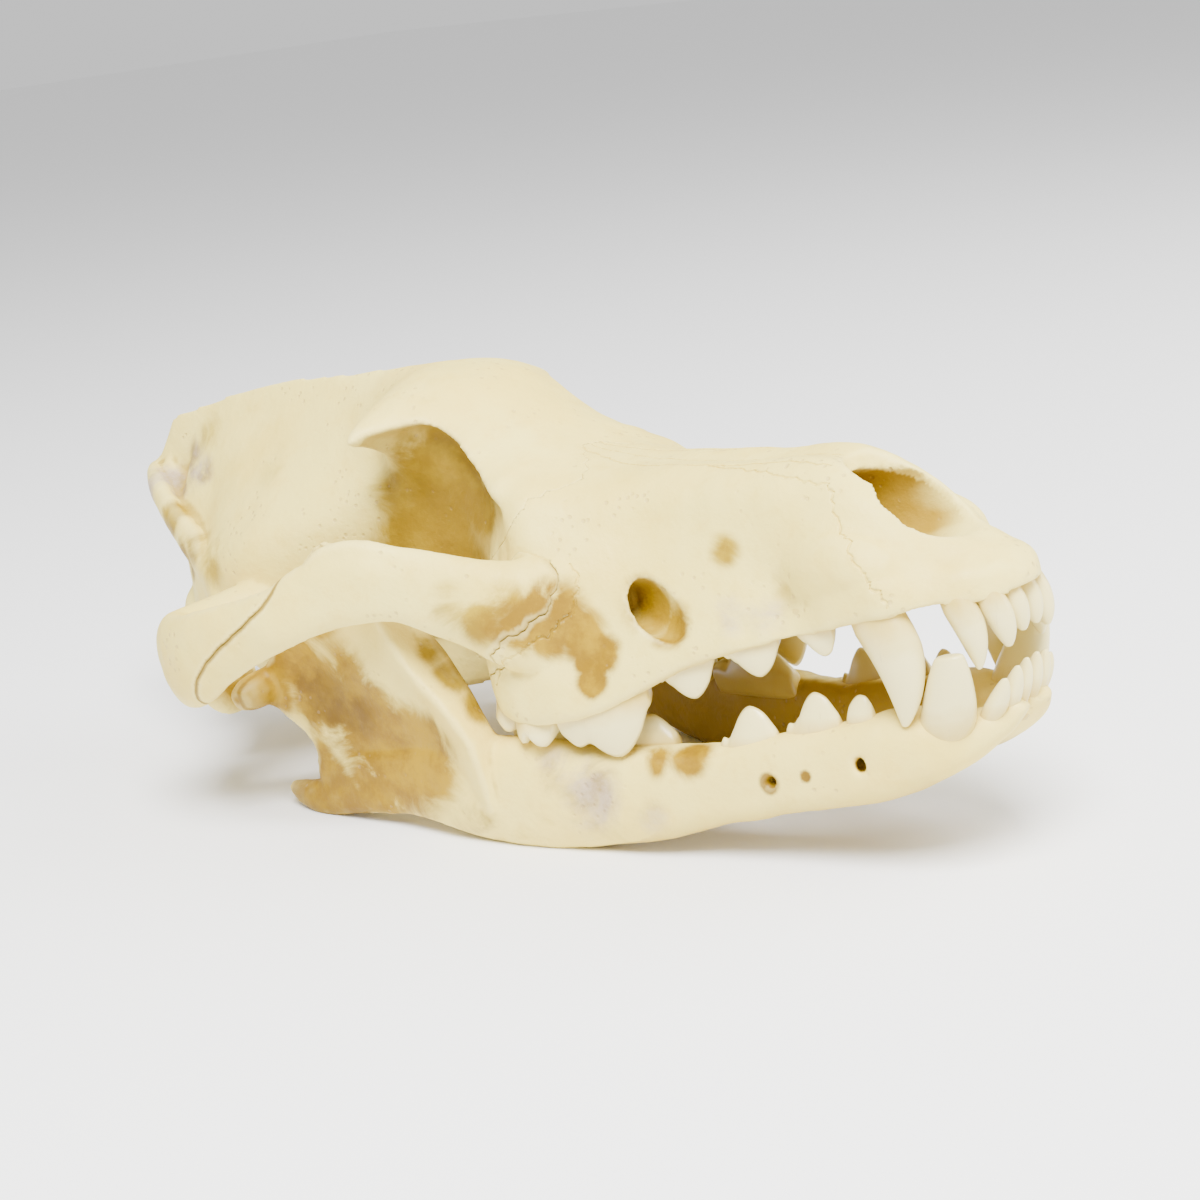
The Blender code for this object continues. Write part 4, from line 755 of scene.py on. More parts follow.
def rounded(outline):
    """A closed outline with its corners cut off in rounds, at a quarter and three quarters of each
    side, and then moved across its run by two sines of x + z, most at the face, as a grown edge
    wanders."""
    corners = np.array(outline, float)
    for _ in range(CORNER_ROUNDS):
        after = np.roll(corners, -1, 0)
        cut = [0.75 * corners + 0.25 * after, 0.25 * corners + 0.75 * after]
        corners = np.stack(cut, 1).reshape(-1, 2)
    run = np.roll(corners, -1, 0) - np.roll(corners, 1, 0)
    across = np.stack([-run[:, 1], run[:, 0]], 1) / np.linalg.norm(run, axis=1, keepdims=True)
    at = corners.sum(1, keepdims=True)
    grown = WANDER_REAR_SHARE + (1 - WANDER_REAR_SHARE) * fade(corners[:, :1], *WANDER_GROWS)
    wave = sum(share * np.sin(pace * at) for pace, share in WANDER_WAVES)
    return corners + across * WANDER * grown * wave


CHEEKBONE_OUTLINE = rounded(CHEEKBONE_CORNERS)


def colour(name, description, default):
    """A colour among the settings."""
    return bpy.props.FloatVectorProperty(name=name, description=description, subtype="COLOR",
                                         size=3, default=default)


def length(name, description, default, least):
    """A length among the settings, in metres."""
    return bpy.props.FloatProperty(name=name, description=description, default=default,
                                   min=least, unit="LENGTH")


class SkullSettings(bpy.types.PropertyGroup):
    """Sizes and colours of the bones and the teeth."""

    cranium_grain: length("Cranium grain", "Size of the finest facets of the cranium",
                          0.00085, 0.0004)
    jaw_grain: length("Jaw grain", "Size of the finest facets of the lower jaw", 0.0008, 0.0004)
    relief: length("Relief", "Height of the unevenness of the bone", 0.00022, 0)
    bone: colour("Bone", "Clean dry bone", (0.84, 0.69, 0.18))
    # Ochre also paints the shade inside the orbits and on the medial ridge at the front of the jaw's
    # blade
    ochre: colour("Ochre", "Old grease in the bone", (0.42, 0.28, 0.01))
    orange: colour("Orange", "Deep stains", (0.35, 0.21, 0.0))
    lilac: colour("Lilac", "Greyish patches", (0.50, 0.39, 0.27))
    # Brown also paints the shade in the cheekbone's seams, on the inner sides of the jaws, in the orbits
    # and at the chin's nerve holes
    brown: colour("Brown", "Darkest stains and the dirt in the seams", (0.23, 0.13, 0.0))
    # Painted shade in the small hollows of the bone
    hollow_shade: colour("Hollow", "Small hollows of the bone", (0.38, 0.25, 0.02))
    # Painted highlight on the convex edges of the bone
    edge_highlight: colour("Worn", "Worn edges of the bone", (0.89, 0.76, 0.28))
    pore: colour("Pore", "Fine pores in the bone", (0.45, 0.30, 0.14))
    # Painted shade inside the mouth, the nose and the orbits and on the inner sides of the teeth
    inner_shade_colour: colour("Shelter", "Bone inside the mouth and the nose", (0.34, 0.21, 0.01))
    enamel: colour("Enamel", "Crowns of the teeth", (0.83, 0.72, 0.30))
    neck: colour("Tooth neck", "Teeth at the gum line", (0.64, 0.46, 0.08))
    crack: colour("Crack", "Fine cracks in the teeth", (0.55, 0.40, 0.18))


class StageSettings(bpy.types.PropertyGroup):
    """The floor, the light and the camera."""

    floor: colour("Floor", "Colour of the floor", (0.92, 0.92, 0.92))
    sky: bpy.props.FloatProperty(
        name="Sky", description="Brightness of the light from all round", default=0.85, min=0)
    key: bpy.props.FloatProperty(
        name="Key", description="Power of the large light above the right", default=52.0, min=0,
        unit="POWER")


def lattice_noise(points, size, seed):
    """Smooth noise from -1 to 1: a fixed random value at each corner of a cubic lattice of this
    size, blended by a smoothstep of the place within the cell."""
    cell = points / size
    base = np.floor(cell).astype(np.int64)
    part = cell - base
    part = part * part * (3 - 2 * part)
    total = np.zeros(len(points))
    for corner in np.ndindex(2, 2, 2):
        key = (base + corner) @ np.array([73856093, 19349663, 83492791]) + seed * 668265263
        key = (key ^ (key >> 13)) * 1274126177
        value = ((key ^ (key >> 16)) & 65535) / 32767.5 - 1
        total += value * np.where(corner, part, 1 - part).prod(1)
    return total


def to_row(points):
    """Points of the skull's frame, in millimetres, in the part's frame, in metres."""
    tip = np.radians(NOSE_UP_DEGREES)
    turn = np.array([[np.cos(tip), 0, -np.sin(tip)], [0, 1, 0], [np.sin(tip), 0, np.cos(tip)]])
    return (np.asarray(points) @ turn.T + np.array(POSE_PLACE)) / 1000


def points_of(mesh):
    """The places of a mesh's vertices, in millimetres."""
    points = np.empty(len(mesh.vertices) * 3, np.float32)
    mesh.vertices.foreach_get("co", points)
    return points.reshape(-1, 3).astype(float) * 1000


def normals_of(mesh):
    """The directions in which a mesh's vertices face."""
    normals = np.empty(len(mesh.vertices) * 3, np.float32)
    mesh.vertex_normals.foreach_get("vector", normals)
    return normals.reshape(-1, 3).astype(float)


def put_points(mesh, points):
    """Moves a mesh's vertices to these places, in millimetres."""
    mesh.vertices.foreach_set("co", (points / 1000).astype(np.float32).ravel())
    mesh.update()


def store(mesh, name, values):
    """Keeps one number per vertex for the material to read."""
    layer = mesh.attributes.new(name, "FLOAT", "POINT")
    layer.data.foreach_set("value", np.clip(values, 0, 1).astype(np.float32))


def hollowness(mesh, points, normals, rounds=6):
    """How deep each vertex lies under its neighbours' mean along its normal, averaged in rounds."""
    edges = np.empty(len(mesh.edges) * 2, np.int32)
    mesh.edges.foreach_get("vertices", edges)
    a, b = edges.reshape(-1, 2).T
    links = np.maximum(np.bincount(np.concatenate([a, b]), minlength=len(points)), 1)

    def near(values):
        total = np.bincount(a, values[b], len(points)) + np.bincount(b, values[a], len(points))
        return total / links

    mean = points
    for _ in range(rounds):
        mean = np.stack([near(column) for column in mean.T], -1)
    return np.einsum("ij,ij->i", mean - points, normals)


def bell(points, centre, reach):
    """A bell curve of the distance from the centre: e to the minus square of it in reaches."""
    return np.exp(-((points - np.array(centre)) ** 2).sum(1) / reach ** 2)


def spot_strength(points, spots):
    """How strongly stains and spots of painted shade reach each point: the strongest of bell curves round
    them, the ones on the right side copied fainter to the left."""
    strength = np.zeros(len(points))
    for x, y, z, reach, amount in spots:
        for side, share in ((1, amount), (-1, amount * MIRRORED_SHARE)):
            strength = np.maximum(strength, share * bell(points, (x, side * y, z), reach))
    return strength


def facing_inward(y, normals, gain):
    """The part of each normal that points towards the middle of the head, times a gain."""
    return np.clip(-np.sign(y) * normals[:, 1] * gain, 0, 1)


def painted_inner_shade(points, normals):
    """The share of painted shade at each point, by how far it lies inside the mouth, the nose or an orbit
    and is turned away from the light: for the walls the part of the normal that faces the middle, for the
    roof the part that faces down, for the orbit how near its centre the point is, each faded out at its
    rims."""
    x, y, z = points.T
    inward = facing_inward(y, normals, 1.6)
    mouth = fade(z, *MOUTH_DOWN) * fade(x, *MOUTH_BACK) * fade(x, *MOUTH_FORWARD)
    under_roof = z < through(CROWN, np.clip(x, OCCIPUT_BACK, SKULL_FRONT))[:, 1] - NOSE_ROOF
    nose = fade(np.abs(y), *NOSE_INWARD) * fade(x, *NOSE_BACK) * (x > NOSE_END)
    nose = nose * (z > NOSE_FLOOR) * under_roof
    roof = np.clip(-normals[:, 2], 0, 1) * fade(x, *PALATE_BACK) * (np.abs(y) < CHEEKBONE_INNER)
    (centre_x, centre_z), (half_length, half_height), inside = ORBIT_SHADE
    away = ((x - centre_x) / half_length) ** 2 + ((z - centre_z) / half_height) ** 2
    orbit = np.clip(1 - away, 0, 1) * (np.abs(y) < inside)
    floor = np.maximum(inward, normals[:, 2] * 0.8)
    return np.maximum.reduce([inward * mouth, floor * nose, roof * 0.6, orbit * 0.7])


def roughen(obj, height, seed):
    """Moves the surface of a bone along its normals by noise of three sizes."""
    points = points_of(obj.data)
    normals = normals_of(obj.data)
    lift = sum(share * lattice_noise(points, size, seed + order)
               for order, (size, share) in enumerate(UNEVENNESS))
    put_points(obj.data, points + normals * (lift * height * 1000)[:, None])


def swell(obj):
    """Moves the surface of a bone along its normals by a bell curve round each swelling."""
    points = points_of(obj.data)
    normals = normals_of(obj.data)
    lift = np.zeros(len(points))
    for x, y, z, reach, height in SWELLS:
        for side in (1, -1):
            lift += height * bell(points, (x, side * y, z), reach)
    put_points(obj.data, points + normals * lift[:, None])


def seam_shade(points):
    """A bell curve of the distance, in side view, from the outline of the cheekbone, for the part
    of the skull outside its inner limit."""
    corners = np.array(CHEEKBONE_OUTLINE, float)
    place = points[:, [0, 2]]
    nearest = np.full(len(points), np.inf)
    for start, end in zip(corners, np.roll(corners, -1, 0)):
        run = end - start
        share = np.clip((place - start) @ run / (run @ run), 0, 1)
        nearest = np.minimum(nearest, ((place - start - share[:, None] * run) ** 2).sum(1))
    full = SEAM_FACE_SHARE + (1 - SEAM_FACE_SHARE) * fade(points[:, 0], *SEAM_GROWS)
    arch = (np.abs(points[:, 1]) > CHEEKBONE_INNER) * (points[:, 2] > SEAM_ABOVE)
    return np.exp(-nearest / SEAM_REACH ** 2) * full * arch


def paint(obj):
    """Stores on a bone's vertices the stains and the painted shade among their spots, the painted shade
    in the cheekbone's seam, inside the head and in the hollows, and the painted highlight on convex
    edges.
    """
    points, normals = points_of(obj.data), normals_of(obj.data)
    for name, spots in STAIN_AND_SHADE_SPOTS.items():
        store(obj.data, name, spot_strength(points, spots))
    # Painted shade in the cheekbone's seam, inside the head and in hollows, and a painted highlight on
    # convex edges
    store(obj.data, "seam", seam_shade(points))
    store(obj.data, "painted_inner_shade", painted_inner_shade(points, normals))
    depth = hollowness(obj.data, points, normals) / FULL_HOLLOW
    store(obj.data, "hollow_shade", depth)
    store(obj.data, "edge_highlight", -depth)


def settle(obj):
    """Puts a finished piece into the part's frame, its object at the origin, and lets it ride."""
    obj.data.vertices.foreach_set("co", to_row(points_of(obj.data)).astype(np.float32).ravel())
    obj.data.update()
    obj.data.shade_smooth()
    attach(obj, "root")


def seam_tube(knots, wander, pitch, target):
    """Sections of a thin tube along a wandering line on a bone, which a Boolean cuts as a groove.
    The line goes through the knots, swings to both sides by a sum of three sines of the pitch, the
    first one swelling and fading, and lies on the nearest surface."""
    knots = np.array(knots, float)
    place = np.concatenate([[0], np.cumsum(np.linalg.norm(np.diff(knots, axis=0), axis=1))])
    at = np.linspace(0, place[-1], int(place[-1] / GROOVE_STEP))
    line = through(np.column_stack([place, knots]), at)
    ahead = np.gradient(line, axis=0)
    normal = np.array([target.find_nearest(Vector(point / 1000))[1] for point in line])
    side = np.cross(ahead, normal)
    side /= np.linalg.norm(side, axis=1, keepdims=True) + 1e-9
    turn = 2 * np.pi * at / pitch
    swing = (np.sin(turn) * (0.55 + 0.45 * np.sin(at / (pitch * 0.7)))
             + 0.7 * np.sin(turn / 2.3 + 2) + 0.35 * np.sin(turn / 0.43 + 1))
    line = line + side * (wander * swing)[:, None]
    line = np.array([target.find_nearest(Vector(point / 1000))[0] for point in line]) * 1000
    size = np.full((len(line), 1), GROOVE_RADIUS)
    size[:2] = size[-2:] = GROOVE_RADIUS / 2
    rows = np.concatenate([line, size, size * GROOVE_TALLNESS], 1)
    return swept_rings(rows, count=len(rows), around=8)


def cut_seams(obj):
    """Cuts the seams of the face into the cranium, the paired ones on both sides."""
    target = BVHTree.FromObject(obj, bpy.context.evaluated_depsgraph_get())
    tubes = add_collection("seam_tubes")
    for name, (knots, wander, pitch) in SEAMS.items():
        paired = knots[0][1] != 0
        for side in (1, -1) if paired else (1,):
            turned = [(x, side * y, z) for x, y, z in knots]
            add_loft(name, seam_tube(turned, wander, pitch, target), tubes)
    join_or_cut(obj, tubes, "DIFFERENCE")
    bpy.data.collections.remove(tubes)
    keep_largest(obj)


def fine_bone(name, parts, lofts, cuts, voxel):
    """A bone grown together from closed lofts, less the openings, with fine even facets."""
    first, rest = lofts[0], lofts[1:]
    bone = add_loft(name, first, parts)
    for rings, operation in ((rest, "UNION"), (cuts, "DIFFERENCE")):
        if rings:
            pieces = add_collection("bone_pieces")
            for ring in rings:
                add_loft("piece", ring, pieces)
            join_or_cut(bone, pieces, operation)
            bpy.data.collections.remove(pieces)
    remesh = bone.modifiers.new("grow", "REMESH")
    remesh.mode = "VOXEL"
    remesh.voxel_size = voxel
    smooth = bone.modifiers.new("round", "SMOOTH")
    smooth.factor = 0.5
    smooth.iterations = 5
    bake(bone)
    keep_largest(bone)
    return bone


def ball_rings(centre, radii, count=24, around=32):
    """Sections of an ellipsoid: circles whose size follows a half turn of a cosine."""
    turn = np.linspace(0.02, np.pi - 0.02, count)
    angle = np.linspace(0, 2 * np.pi, around, endpoint=False)
    x, y, z = centre
    a, b, c = radii
    along = x + a * np.cos(turn)
    return np.stack([np.broadcast_to(along[:, None], (count, around)),
                     y + b * np.sin(turn)[:, None] * np.cos(angle),
                     z + c * np.sin(turn)[:, None] * np.sin(angle)], -1)


def pair(rings):
    """The sections of one side and their mirror image."""
    return [rings, mirrored(rings)]


def cranium_lofts():
    """Everything that the cranium grows from, the trunk first."""
    lofts = [trunk_rings()]
    for path in (CHEEK_ARCH, EYE_SPUR, NAPE_CREST, THROAT_PLATE):
        lofts += pair(swept_rings(path, count=120, around=40))
    lofts += pair(swept_rings(NECK_SPUR, count=60, around=32, up=(1, 0, 0)))
    lofts.append(swept_rings(SAGITTAL_CREST, count=160, around=40, squareness=1.7))
    for centre, radii in (EAR_DRUM, NECK_KNUCKLE, HINGE_STOP, CANINE_SWELLING):
        lofts += pair(ball_rings(centre, radii))
    plate = [(x, 0, z, depth, width) for z, x, depth, width in NAPE_PLATE]
    lofts.append(swept_rings(plate, count=100, around=48, up=(0, 1, 0), squareness=2.6))
    return lofts


def cranium_openings():
    """Everything that is cut out of the cranium."""
    cuts = [swept_rings(NOSE_OPENING, count=80, around=40)]
    cuts += [ball_rings(*ball) for ball in (NOSE_NOTCH, SPINAL_OPENING, THROAT_OPENING)]
    for path in (CHEEK_FORAMEN, EAR_OPENING):
        cuts += pair(swept_rings(path, count=60, around=32))
    return cuts


def jaw_lofts():
    """Everything that the right half of the lower jaw grows from."""
    return [swept_rings(JAW_BODY, count=180, around=48, squareness=2.6),
            swept_rings(JAW_ANGLE, count=80, around=32),
            swept_rings(JAW_HINGE, count=60, around=32),
            swept_rings(JAW_FLANGE, count=60, around=32),
            blade_rings(count=120, around=72)]


def teeth_piece(name, cheek_teeth, front_teeth, sides, down, parts):
    """The crowns and sunken roots of one row of teeth, as one piece, with how far each point is from the
    gum and the painted shade of the sides turned towards the middle stored for the material."""
    rows = []
    for side in sides:
        row = [cheek_tooth_rings(*tooth, down, stations=29) for _, *tooth in cheek_teeth]
        row += [front_tooth_rings(*tooth, stations=20, around=28) for _, *tooth in front_teeth]
        rows += row if side > 0 else [mirrored(rings) for rings in row]
    points, faces, shares, start = [], [], [], 0
    for rings in rows:
        tooth_points, tooth_faces = loft_faces(rings)
        level = tooth_points[:, 2] * (-1 if down else 1)
        shares.append(fade(level, level.min() + ROOT_DEPTH, level.max()))
        points.append(tooth_points)
        faces += [tuple(k + start for k in face) for face in tooth_faces]
        start += len(tooth_points)
    piece = add_mesh(name, np.concatenate(points), faces, parts)
    store(piece.data, "crown", np.concatenate(shares))
    x, y, _ = points_of(piece.data).T
    # Painted shade on the sides of the teeth that face the middle of the mouth
    inward = facing_inward(y, normals_of(piece.data), 1.4)
    store(piece.data, "painted_inner_shade", inward * fade(x, *TEETH_BACK))
    rounding = piece.modifiers.new("round", "SUBSURF")
    rounding.levels = rounding.render_levels = 1
    bake(piece)
    return piece


# The mottling of clean bone, layer on layer: the scale, detail and roughness of a noise, the
# values between which it comes in, how much of it shows at the most, and its tint of the bone
MOTTLING = [
    ((40, 6, 0.55), (0.36, 0.68), 1.0, (0.97, 0.91, 0.74)),
    ((12, 4, 0.55), (0.4, 0.65), 0.7, (1.08, 1.11, 1.24)),
    ((22, 5, 0.6), (0.5, 0.75), 0.45, (0.88, 0.76, 0.5)),
    ((160, 5, 0.7), (0.5, 0.72), 0.35, (0.9, 0.8, 0.6)),
]
# The colours of the stains and of the painted shade among them, in the order in which they lie, with the
# scale of each one's ragged edge, the noise within them, the values between which it comes in, and its
# tint of that colour
SPOT_SCALES = {"lilac": 60, "ochre": 48, "orange": 60, "brown": 75}
SPOT_MOTTLING = ((90, 6, 0.65), (0.38, 0.62), (0.66, 0.6, 0.3))
# What lies over the stains, all of it painted light: the painted shade inside the head, in the small
# hollows and in the cheekbone's seams, and the painted highlight on convex edges. For each the value on
# the mesh, the values between which it comes in, how much of it shows at the most, and its colour among
# the settings
COVERS = [("painted_inner_shade", (0.05, 1.0), 1.0, "inner_shade_colour"), ("hollow_shade", (0.25, 1.0), 0.7, "hollow_shade"),
          ("edge_highlight", (0.3, 1.0), 0.35, "edge_highlight"), ("seam", (0.1, 0.8), 0.8, "brown")]
# How far the noise moves along each axis from one piece to the next
DRIFT = np.array((0.37, 0.21, 0.13))


class NodeKit:
    """Adds nodes to one tree. An input is a number, a colour or the socket that another call gave,
    and each call gives the socket with the new node's result."""

    def __init__(self, tree):
        self.tree = tree

    def feed(self, entry, value):
        """Gives one input its value or its link."""
        if isinstance(value, bpy.types.NodeSocket):
            self.tree.links.new(value, entry)
        else:
            entry.default_value = value

    def add(self, kind, inputs, output, **settings):
        """A node of any kind, with its settings and its inputs."""
        node = self.tree.nodes.new(kind)
        for key, value in settings.items():
            setattr(node, key, value)
        for key, value in inputs.items():
            self.feed(node.inputs[key], value)
        return node.outputs[output]

    def place(self):
        """Where a point lies in the piece."""
        return self.add("ShaderNodeTexCoord", {}, "Object")

    def layer(self, name):
        """What the mesh stores under this name."""
        return self.add("ShaderNodeAttribute", {}, "Fac", attribute_name=name)

    def noise(self, vector, scale, detail, roughness=0.55, distortion=0.0):
        """Fractal noise from 0 to 1."""
        inputs = {"Vector": vector, "Scale": scale, "Detail": detail, "Roughness": roughness,
                  "Distortion": distortion}
        return self.add("ShaderNodeTexNoise", inputs, "Fac")

    def spread(self, value, low, high, to_low=0.0, to_high=1.0, curve="SMOOTHSTEP"):
        """The value between low and high stretched to another range and held at its ends."""
        inputs = {"Value": value, "From Min": low, "From Max": high, "To Min": to_low,
                  "To Max": to_high}
        return self.add("ShaderNodeMapRange", inputs, "Result", interpolation_type=curve)

    def math(self, operation, *values):
        """A sum, a product or the like of numbers."""
        return self.add("ShaderNodeMath", dict(enumerate(values)), "Value", operation=operation)

    def blend(self, share, under, over):
        """One colour covered by another one by this share."""
        under, over = (colour if isinstance(colour, bpy.types.NodeSocket) else (*colour, 1)
                       for colour in (under, over))
        return self.add("ShaderNodeMix", {0: share, 6: under, 7: over}, 2, data_type="RGBA")

    def bump(self, height, strength, distance):
        """The normal of a surface with this relief."""
        inputs = {"Height": height, "Strength": strength, "Distance": distance}
        return self.add("ShaderNodeBump", inputs, "Normal")


def ragged_spot_group():
    """The shared effect of stains and of spots of painted shade: a mask times an uneven noise, narrowed
    to a ragged edge.
    """
    group = bpy.data.node_groups.get("ragged_spot")
    if group:
        return group
    group = bpy.data.node_groups.new("ragged_spot", "ShaderNodeTree")
    for name, way in (("Mask", "INPUT"), ("Scale", "INPUT"), ("Spot", "OUTPUT")):
        group.interface.new_socket(name, in_out=way, socket_type="NodeSocketFloat")
    kit = NodeKit(group)
    entry, leave = group.nodes.new("NodeGroupInput"), group.nodes.new("NodeGroupOutput")
    noise = kit.noise(kit.place(), entry.outputs["Scale"], 8, 0.62, 0.8)
    uneven = kit.spread(noise, 0.3, 0.7, 0.45, 1.55, curve="LINEAR")
    spot = kit.math("MULTIPLY", entry.outputs["Mask"], uneven)
    kit.feed(leave.inputs["Spot"], kit.spread(spot, 0.2, 0.58))
    return group


def new_material(name, **inputs):
    material = bpy.data.materials.new(name)
    material.use_nodes = True
    shader = material.node_tree.nodes["Principled BSDF"]
    for key, value in inputs.items():
        shader.inputs[key.replace("_", " ")].default_value = value
    return material, NodeKit(material.node_tree), shader


def bone_material(name, tint, settings, seed):
    """Dry bone: a cream ground with faint mottling, then the stains with the painted shade among their
    spots, the painted shade inside the head, in hollows and in the seams, the painted highlight on convex
    edges, and fine pores on top."""
    material, kit, shader = new_material(name, Specular_IOR_Level=0.25)
    inputs = {"Vector": kit.place(), "Location": tuple(seed * DRIFT)}
    drift = kit.add("ShaderNodeMapping", inputs, "Vector")
    ground = bone = np.array(settings.bone) * np.array(tint)
    for noise, between, amount, shade in MOTTLING:
        share = kit.spread(kit.noise(drift, *noise), *between, 0, amount)
        ground = kit.blend(share, ground, bone * np.array(shade))
    noise, between, shade = SPOT_MOTTLING
    # Each colour's spots: stains, and in the ochre and brown ones also painted shade
    for spot, scale in SPOT_SCALES.items():
        inputs = {"Mask": kit.layer(spot), "Scale": scale}
        ragged = kit.add("ShaderNodeGroup", inputs, "Spot", node_tree=ragged_spot_group())
        deep = np.array(getattr(settings, spot))
        share = kit.spread(kit.noise(drift, *noise), *between)
        ground = kit.blend(ragged, ground, kit.blend(share, deep, deep * np.array(shade)))
    # Painted shade and a painted highlight laid over the stains
    for cover, between, amount, colour_name in COVERS:
        share = kit.spread(kit.layer(cover), *between, 0, amount)
        ground = kit.blend(share, ground, getattr(settings, colour_name))
    specks = kit.add("ShaderNodeTexVoronoi", {"Vector": drift, "Scale": 420}, "Distance")
    few = kit.spread(kit.noise(drift, 70, 2), 0.52, 0.62)
    pores = kit.math("MULTIPLY", few, kit.spread(specks, 0.12, 0.28, 1, 0))
    ground = kit.blend(kit.math("MULTIPLY", pores, 0.35), ground, settings.pore)
    relief = kit.math("MULTIPLY_ADD", pores, -1.2, kit.noise(drift, 620, 4, 0.6))
    kit.feed(shader.inputs["Base Color"], ground)
    kit.feed(shader.inputs["Roughness"], kit.spread(kit.noise(drift, 120, 4), 0.3, 0.7, 0.42, 0.62))
    kit.feed(shader.inputs["Normal"], kit.bump(relief, 0.5, 0.0004))
    return material


def enamel_material(settings):
    """Teeth: pale enamel, yellower towards the gum, with painted shade on the inner side, faint upright
    cracks and a soft gloss."""
    material, kit, shader = new_material("enamel", Coat_Weight=0.25, Coat_Roughness=0.2)
    place = kit.place()
    mottling = kit.noise(place, 140, 5, 0.5)
    level = kit.math("MULTIPLY_ADD", mottling, 0.35, kit.layer("crown"))
    share = kit.spread(level, 0.14, 0.55, curve="LINEAR")
    ground = kit.blend(share, settings.neck, settings.enamel)
    streak = kit.add("ShaderNodeMapping", {"Vector": place, "Scale": (900, 900, 60)}, "Vector")
    crack = kit.noise(streak, 1, 3, 0.5)
    share = kit.spread(crack, 0.66, 0.72, 0, 0.3, curve="LINEAR")
    ground = kit.blend(share, ground, settings.crack)
    # Painted shade on the inner sides of the teeth
    inner = kit.math("MULTIPLY", kit.layer("painted_inner_shade"), 0.75)
    gloss = kit.spread(mottling, 0, 1, 0.22, 0.42, curve="LINEAR")
    kit.feed(shader.inputs["Base Color"], kit.blend(inner, ground, settings.inner_shade_colour))
    kit.feed(shader.inputs["Roughness"], gloss)
    kit.feed(shader.inputs["Normal"], kit.bump(crack, 0.15, 0.0002))
    return material


# Seeds of the relief and of the colours, and the colour of the lower jaw as shares of the bone's
CRANIUM_SEEDS = (11, 3)
JAW_SEEDS = {"mandible_right": (31, 5), "mandible_left": (38, 6)}
JAW_TINT = (0.99, 0.97, 0.94)


def dress(obj, material, slot, *nodes):
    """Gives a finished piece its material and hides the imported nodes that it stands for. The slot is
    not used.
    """
    obj.data.materials.clear()
    obj.data.materials.append(material)
    settle(obj)
    if nodes:
        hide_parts(*nodes)


class SKULL_OT_cranium(bpy.types.Operator):
    """Build the braincase, the snout and the two cheekbones."""

    bl_idname = "skull.cranium"
    bl_label = "Cranium"

    def execute(self, context):
        settings = context.scene.skull
        parts = add_collection("cranium")
        cutters = add_collection("cranium_cutters")
        braincase = fine_bone("braincase_bone", parts, cranium_lofts(), cranium_openings(),
                              settings.cranium_grain)
        swell(braincase)
        roughen(braincase, settings.relief, CRANIUM_SEEDS[0])
        cut_seams(braincase)
        bones = {}
        for side, name in ((-1, "zygomatic_arch_right"), (1, "zygomatic_arch_left")):
            regions = [cheekbone_region(side, grow, cutters) for grow in (0, CHEEK_GAP)]
            bones[name] = split_off(braincase, name + "_bone", *regions, parts)
        regions = [face_region(grow, cutters) for grow in (0, FACE_GAP)]
        bones["snout"] = split_off(braincase, "snout_bone", *regions, parts)
        bones["braincase"] = braincase
        for node, bone in bones.items():
            paint(bone)
            material = bone_material(node + "_dry_bone", (1, 1, 1), settings, CRANIUM_SEEDS[1])
            dress(bone, material, node, node)
        bpy.data.collections.remove(cutters)
        return {"FINISHED"}


class SKULL_OT_jaw(bpy.types.Operator):
    """Build both halves of the lower jaw."""

    bl_idname = "skull.jaw"
    bl_label = "Lower jaw"

    def execute(self, context):
        settings = context.scene.skull
        parts = add_collection("lower_jaw")
        right = fine_bone("mandible_right_bone", parts, jaw_lofts(), jaw_openings(),
                          settings.jaw_grain)
        left = right.copy()
        left.data = right.data.copy()
        left.name = "mandible_left_bone"
        parts.objects.link(left)
        left.data.transform(Matrix.Scale(-1, 4, (0, 1, 0)))
        left.data.flip_normals()
        for jaw, (node, (relief_seed, colour_seed)) in zip((right, left), JAW_SEEDS.items()):
            swell(jaw)
            roughen(jaw, settings.relief, relief_seed)
            paint(jaw)
            material = bone_material(node + "_dry_bone", JAW_TINT, settings, colour_seed)
            dress(jaw, material, node, node)
            rest_on_floor(jaw)
        return {"FINISHED"}


class SKULL_OT_teeth(bpy.types.Operator):
    """Build the upper teeth and both lower rows."""

    bl_idname = "skull.teeth"
    bl_label = "Teeth"

    def execute(self, context):
        parts = add_collection("teeth")
        enamel = enamel_material(context.scene.skull)
        upper = teeth_piece("upper_teeth", UPPER_CHEEK_TEETH, UPPER_FRONT_TEETH, (-1, 1), True,
                            parts)
        dress(upper, enamel, "snout")
        for side, node in ((-1, "mandible_right"), (1, "mandible_left")):
            row = teeth_piece(node + "_teeth", LOWER_CHEEK_TEETH, LOWER_FRONT_TEETH, (side,),
                              False, parts)
            dress(row, enamel, node)
        return {"FINISHED"}


class SKULL_OT_stage(bpy.types.Operator):
    """Build the floor, the light and the camera."""

    bl_idname = "skull.stage"
    bl_label = "Stage"

    def execute(self, context):
        settings = context.scene.skull_stage
        stage = add_collection("stage")
        add_floor(stage, settings.floor)
        context.scene.world = bpy.data.worlds.new("studio")
        context.scene.world.use_nodes = True
        sky = context.scene.world.node_tree.nodes["Background"]
        sky.inputs["Color"].default_value = (1, 1, 1, 1)
        sky.inputs["Strength"].default_value = settings.sky
        for name, (place, size, share) in LAMPS.items():
            lamp = bpy.data.objects.new(name, bpy.data.lights.new(name, "AREA"))
            lamp.data.size = size
            lamp.data.energy = settings.key * share
            lamp.location = place
            lamp.rotation_euler = Vector(place).to_track_quat("Z", "Y").to_euler()
            stage.objects.link(lamp)
        add_camera(stage)
        return {"FINISHED"}


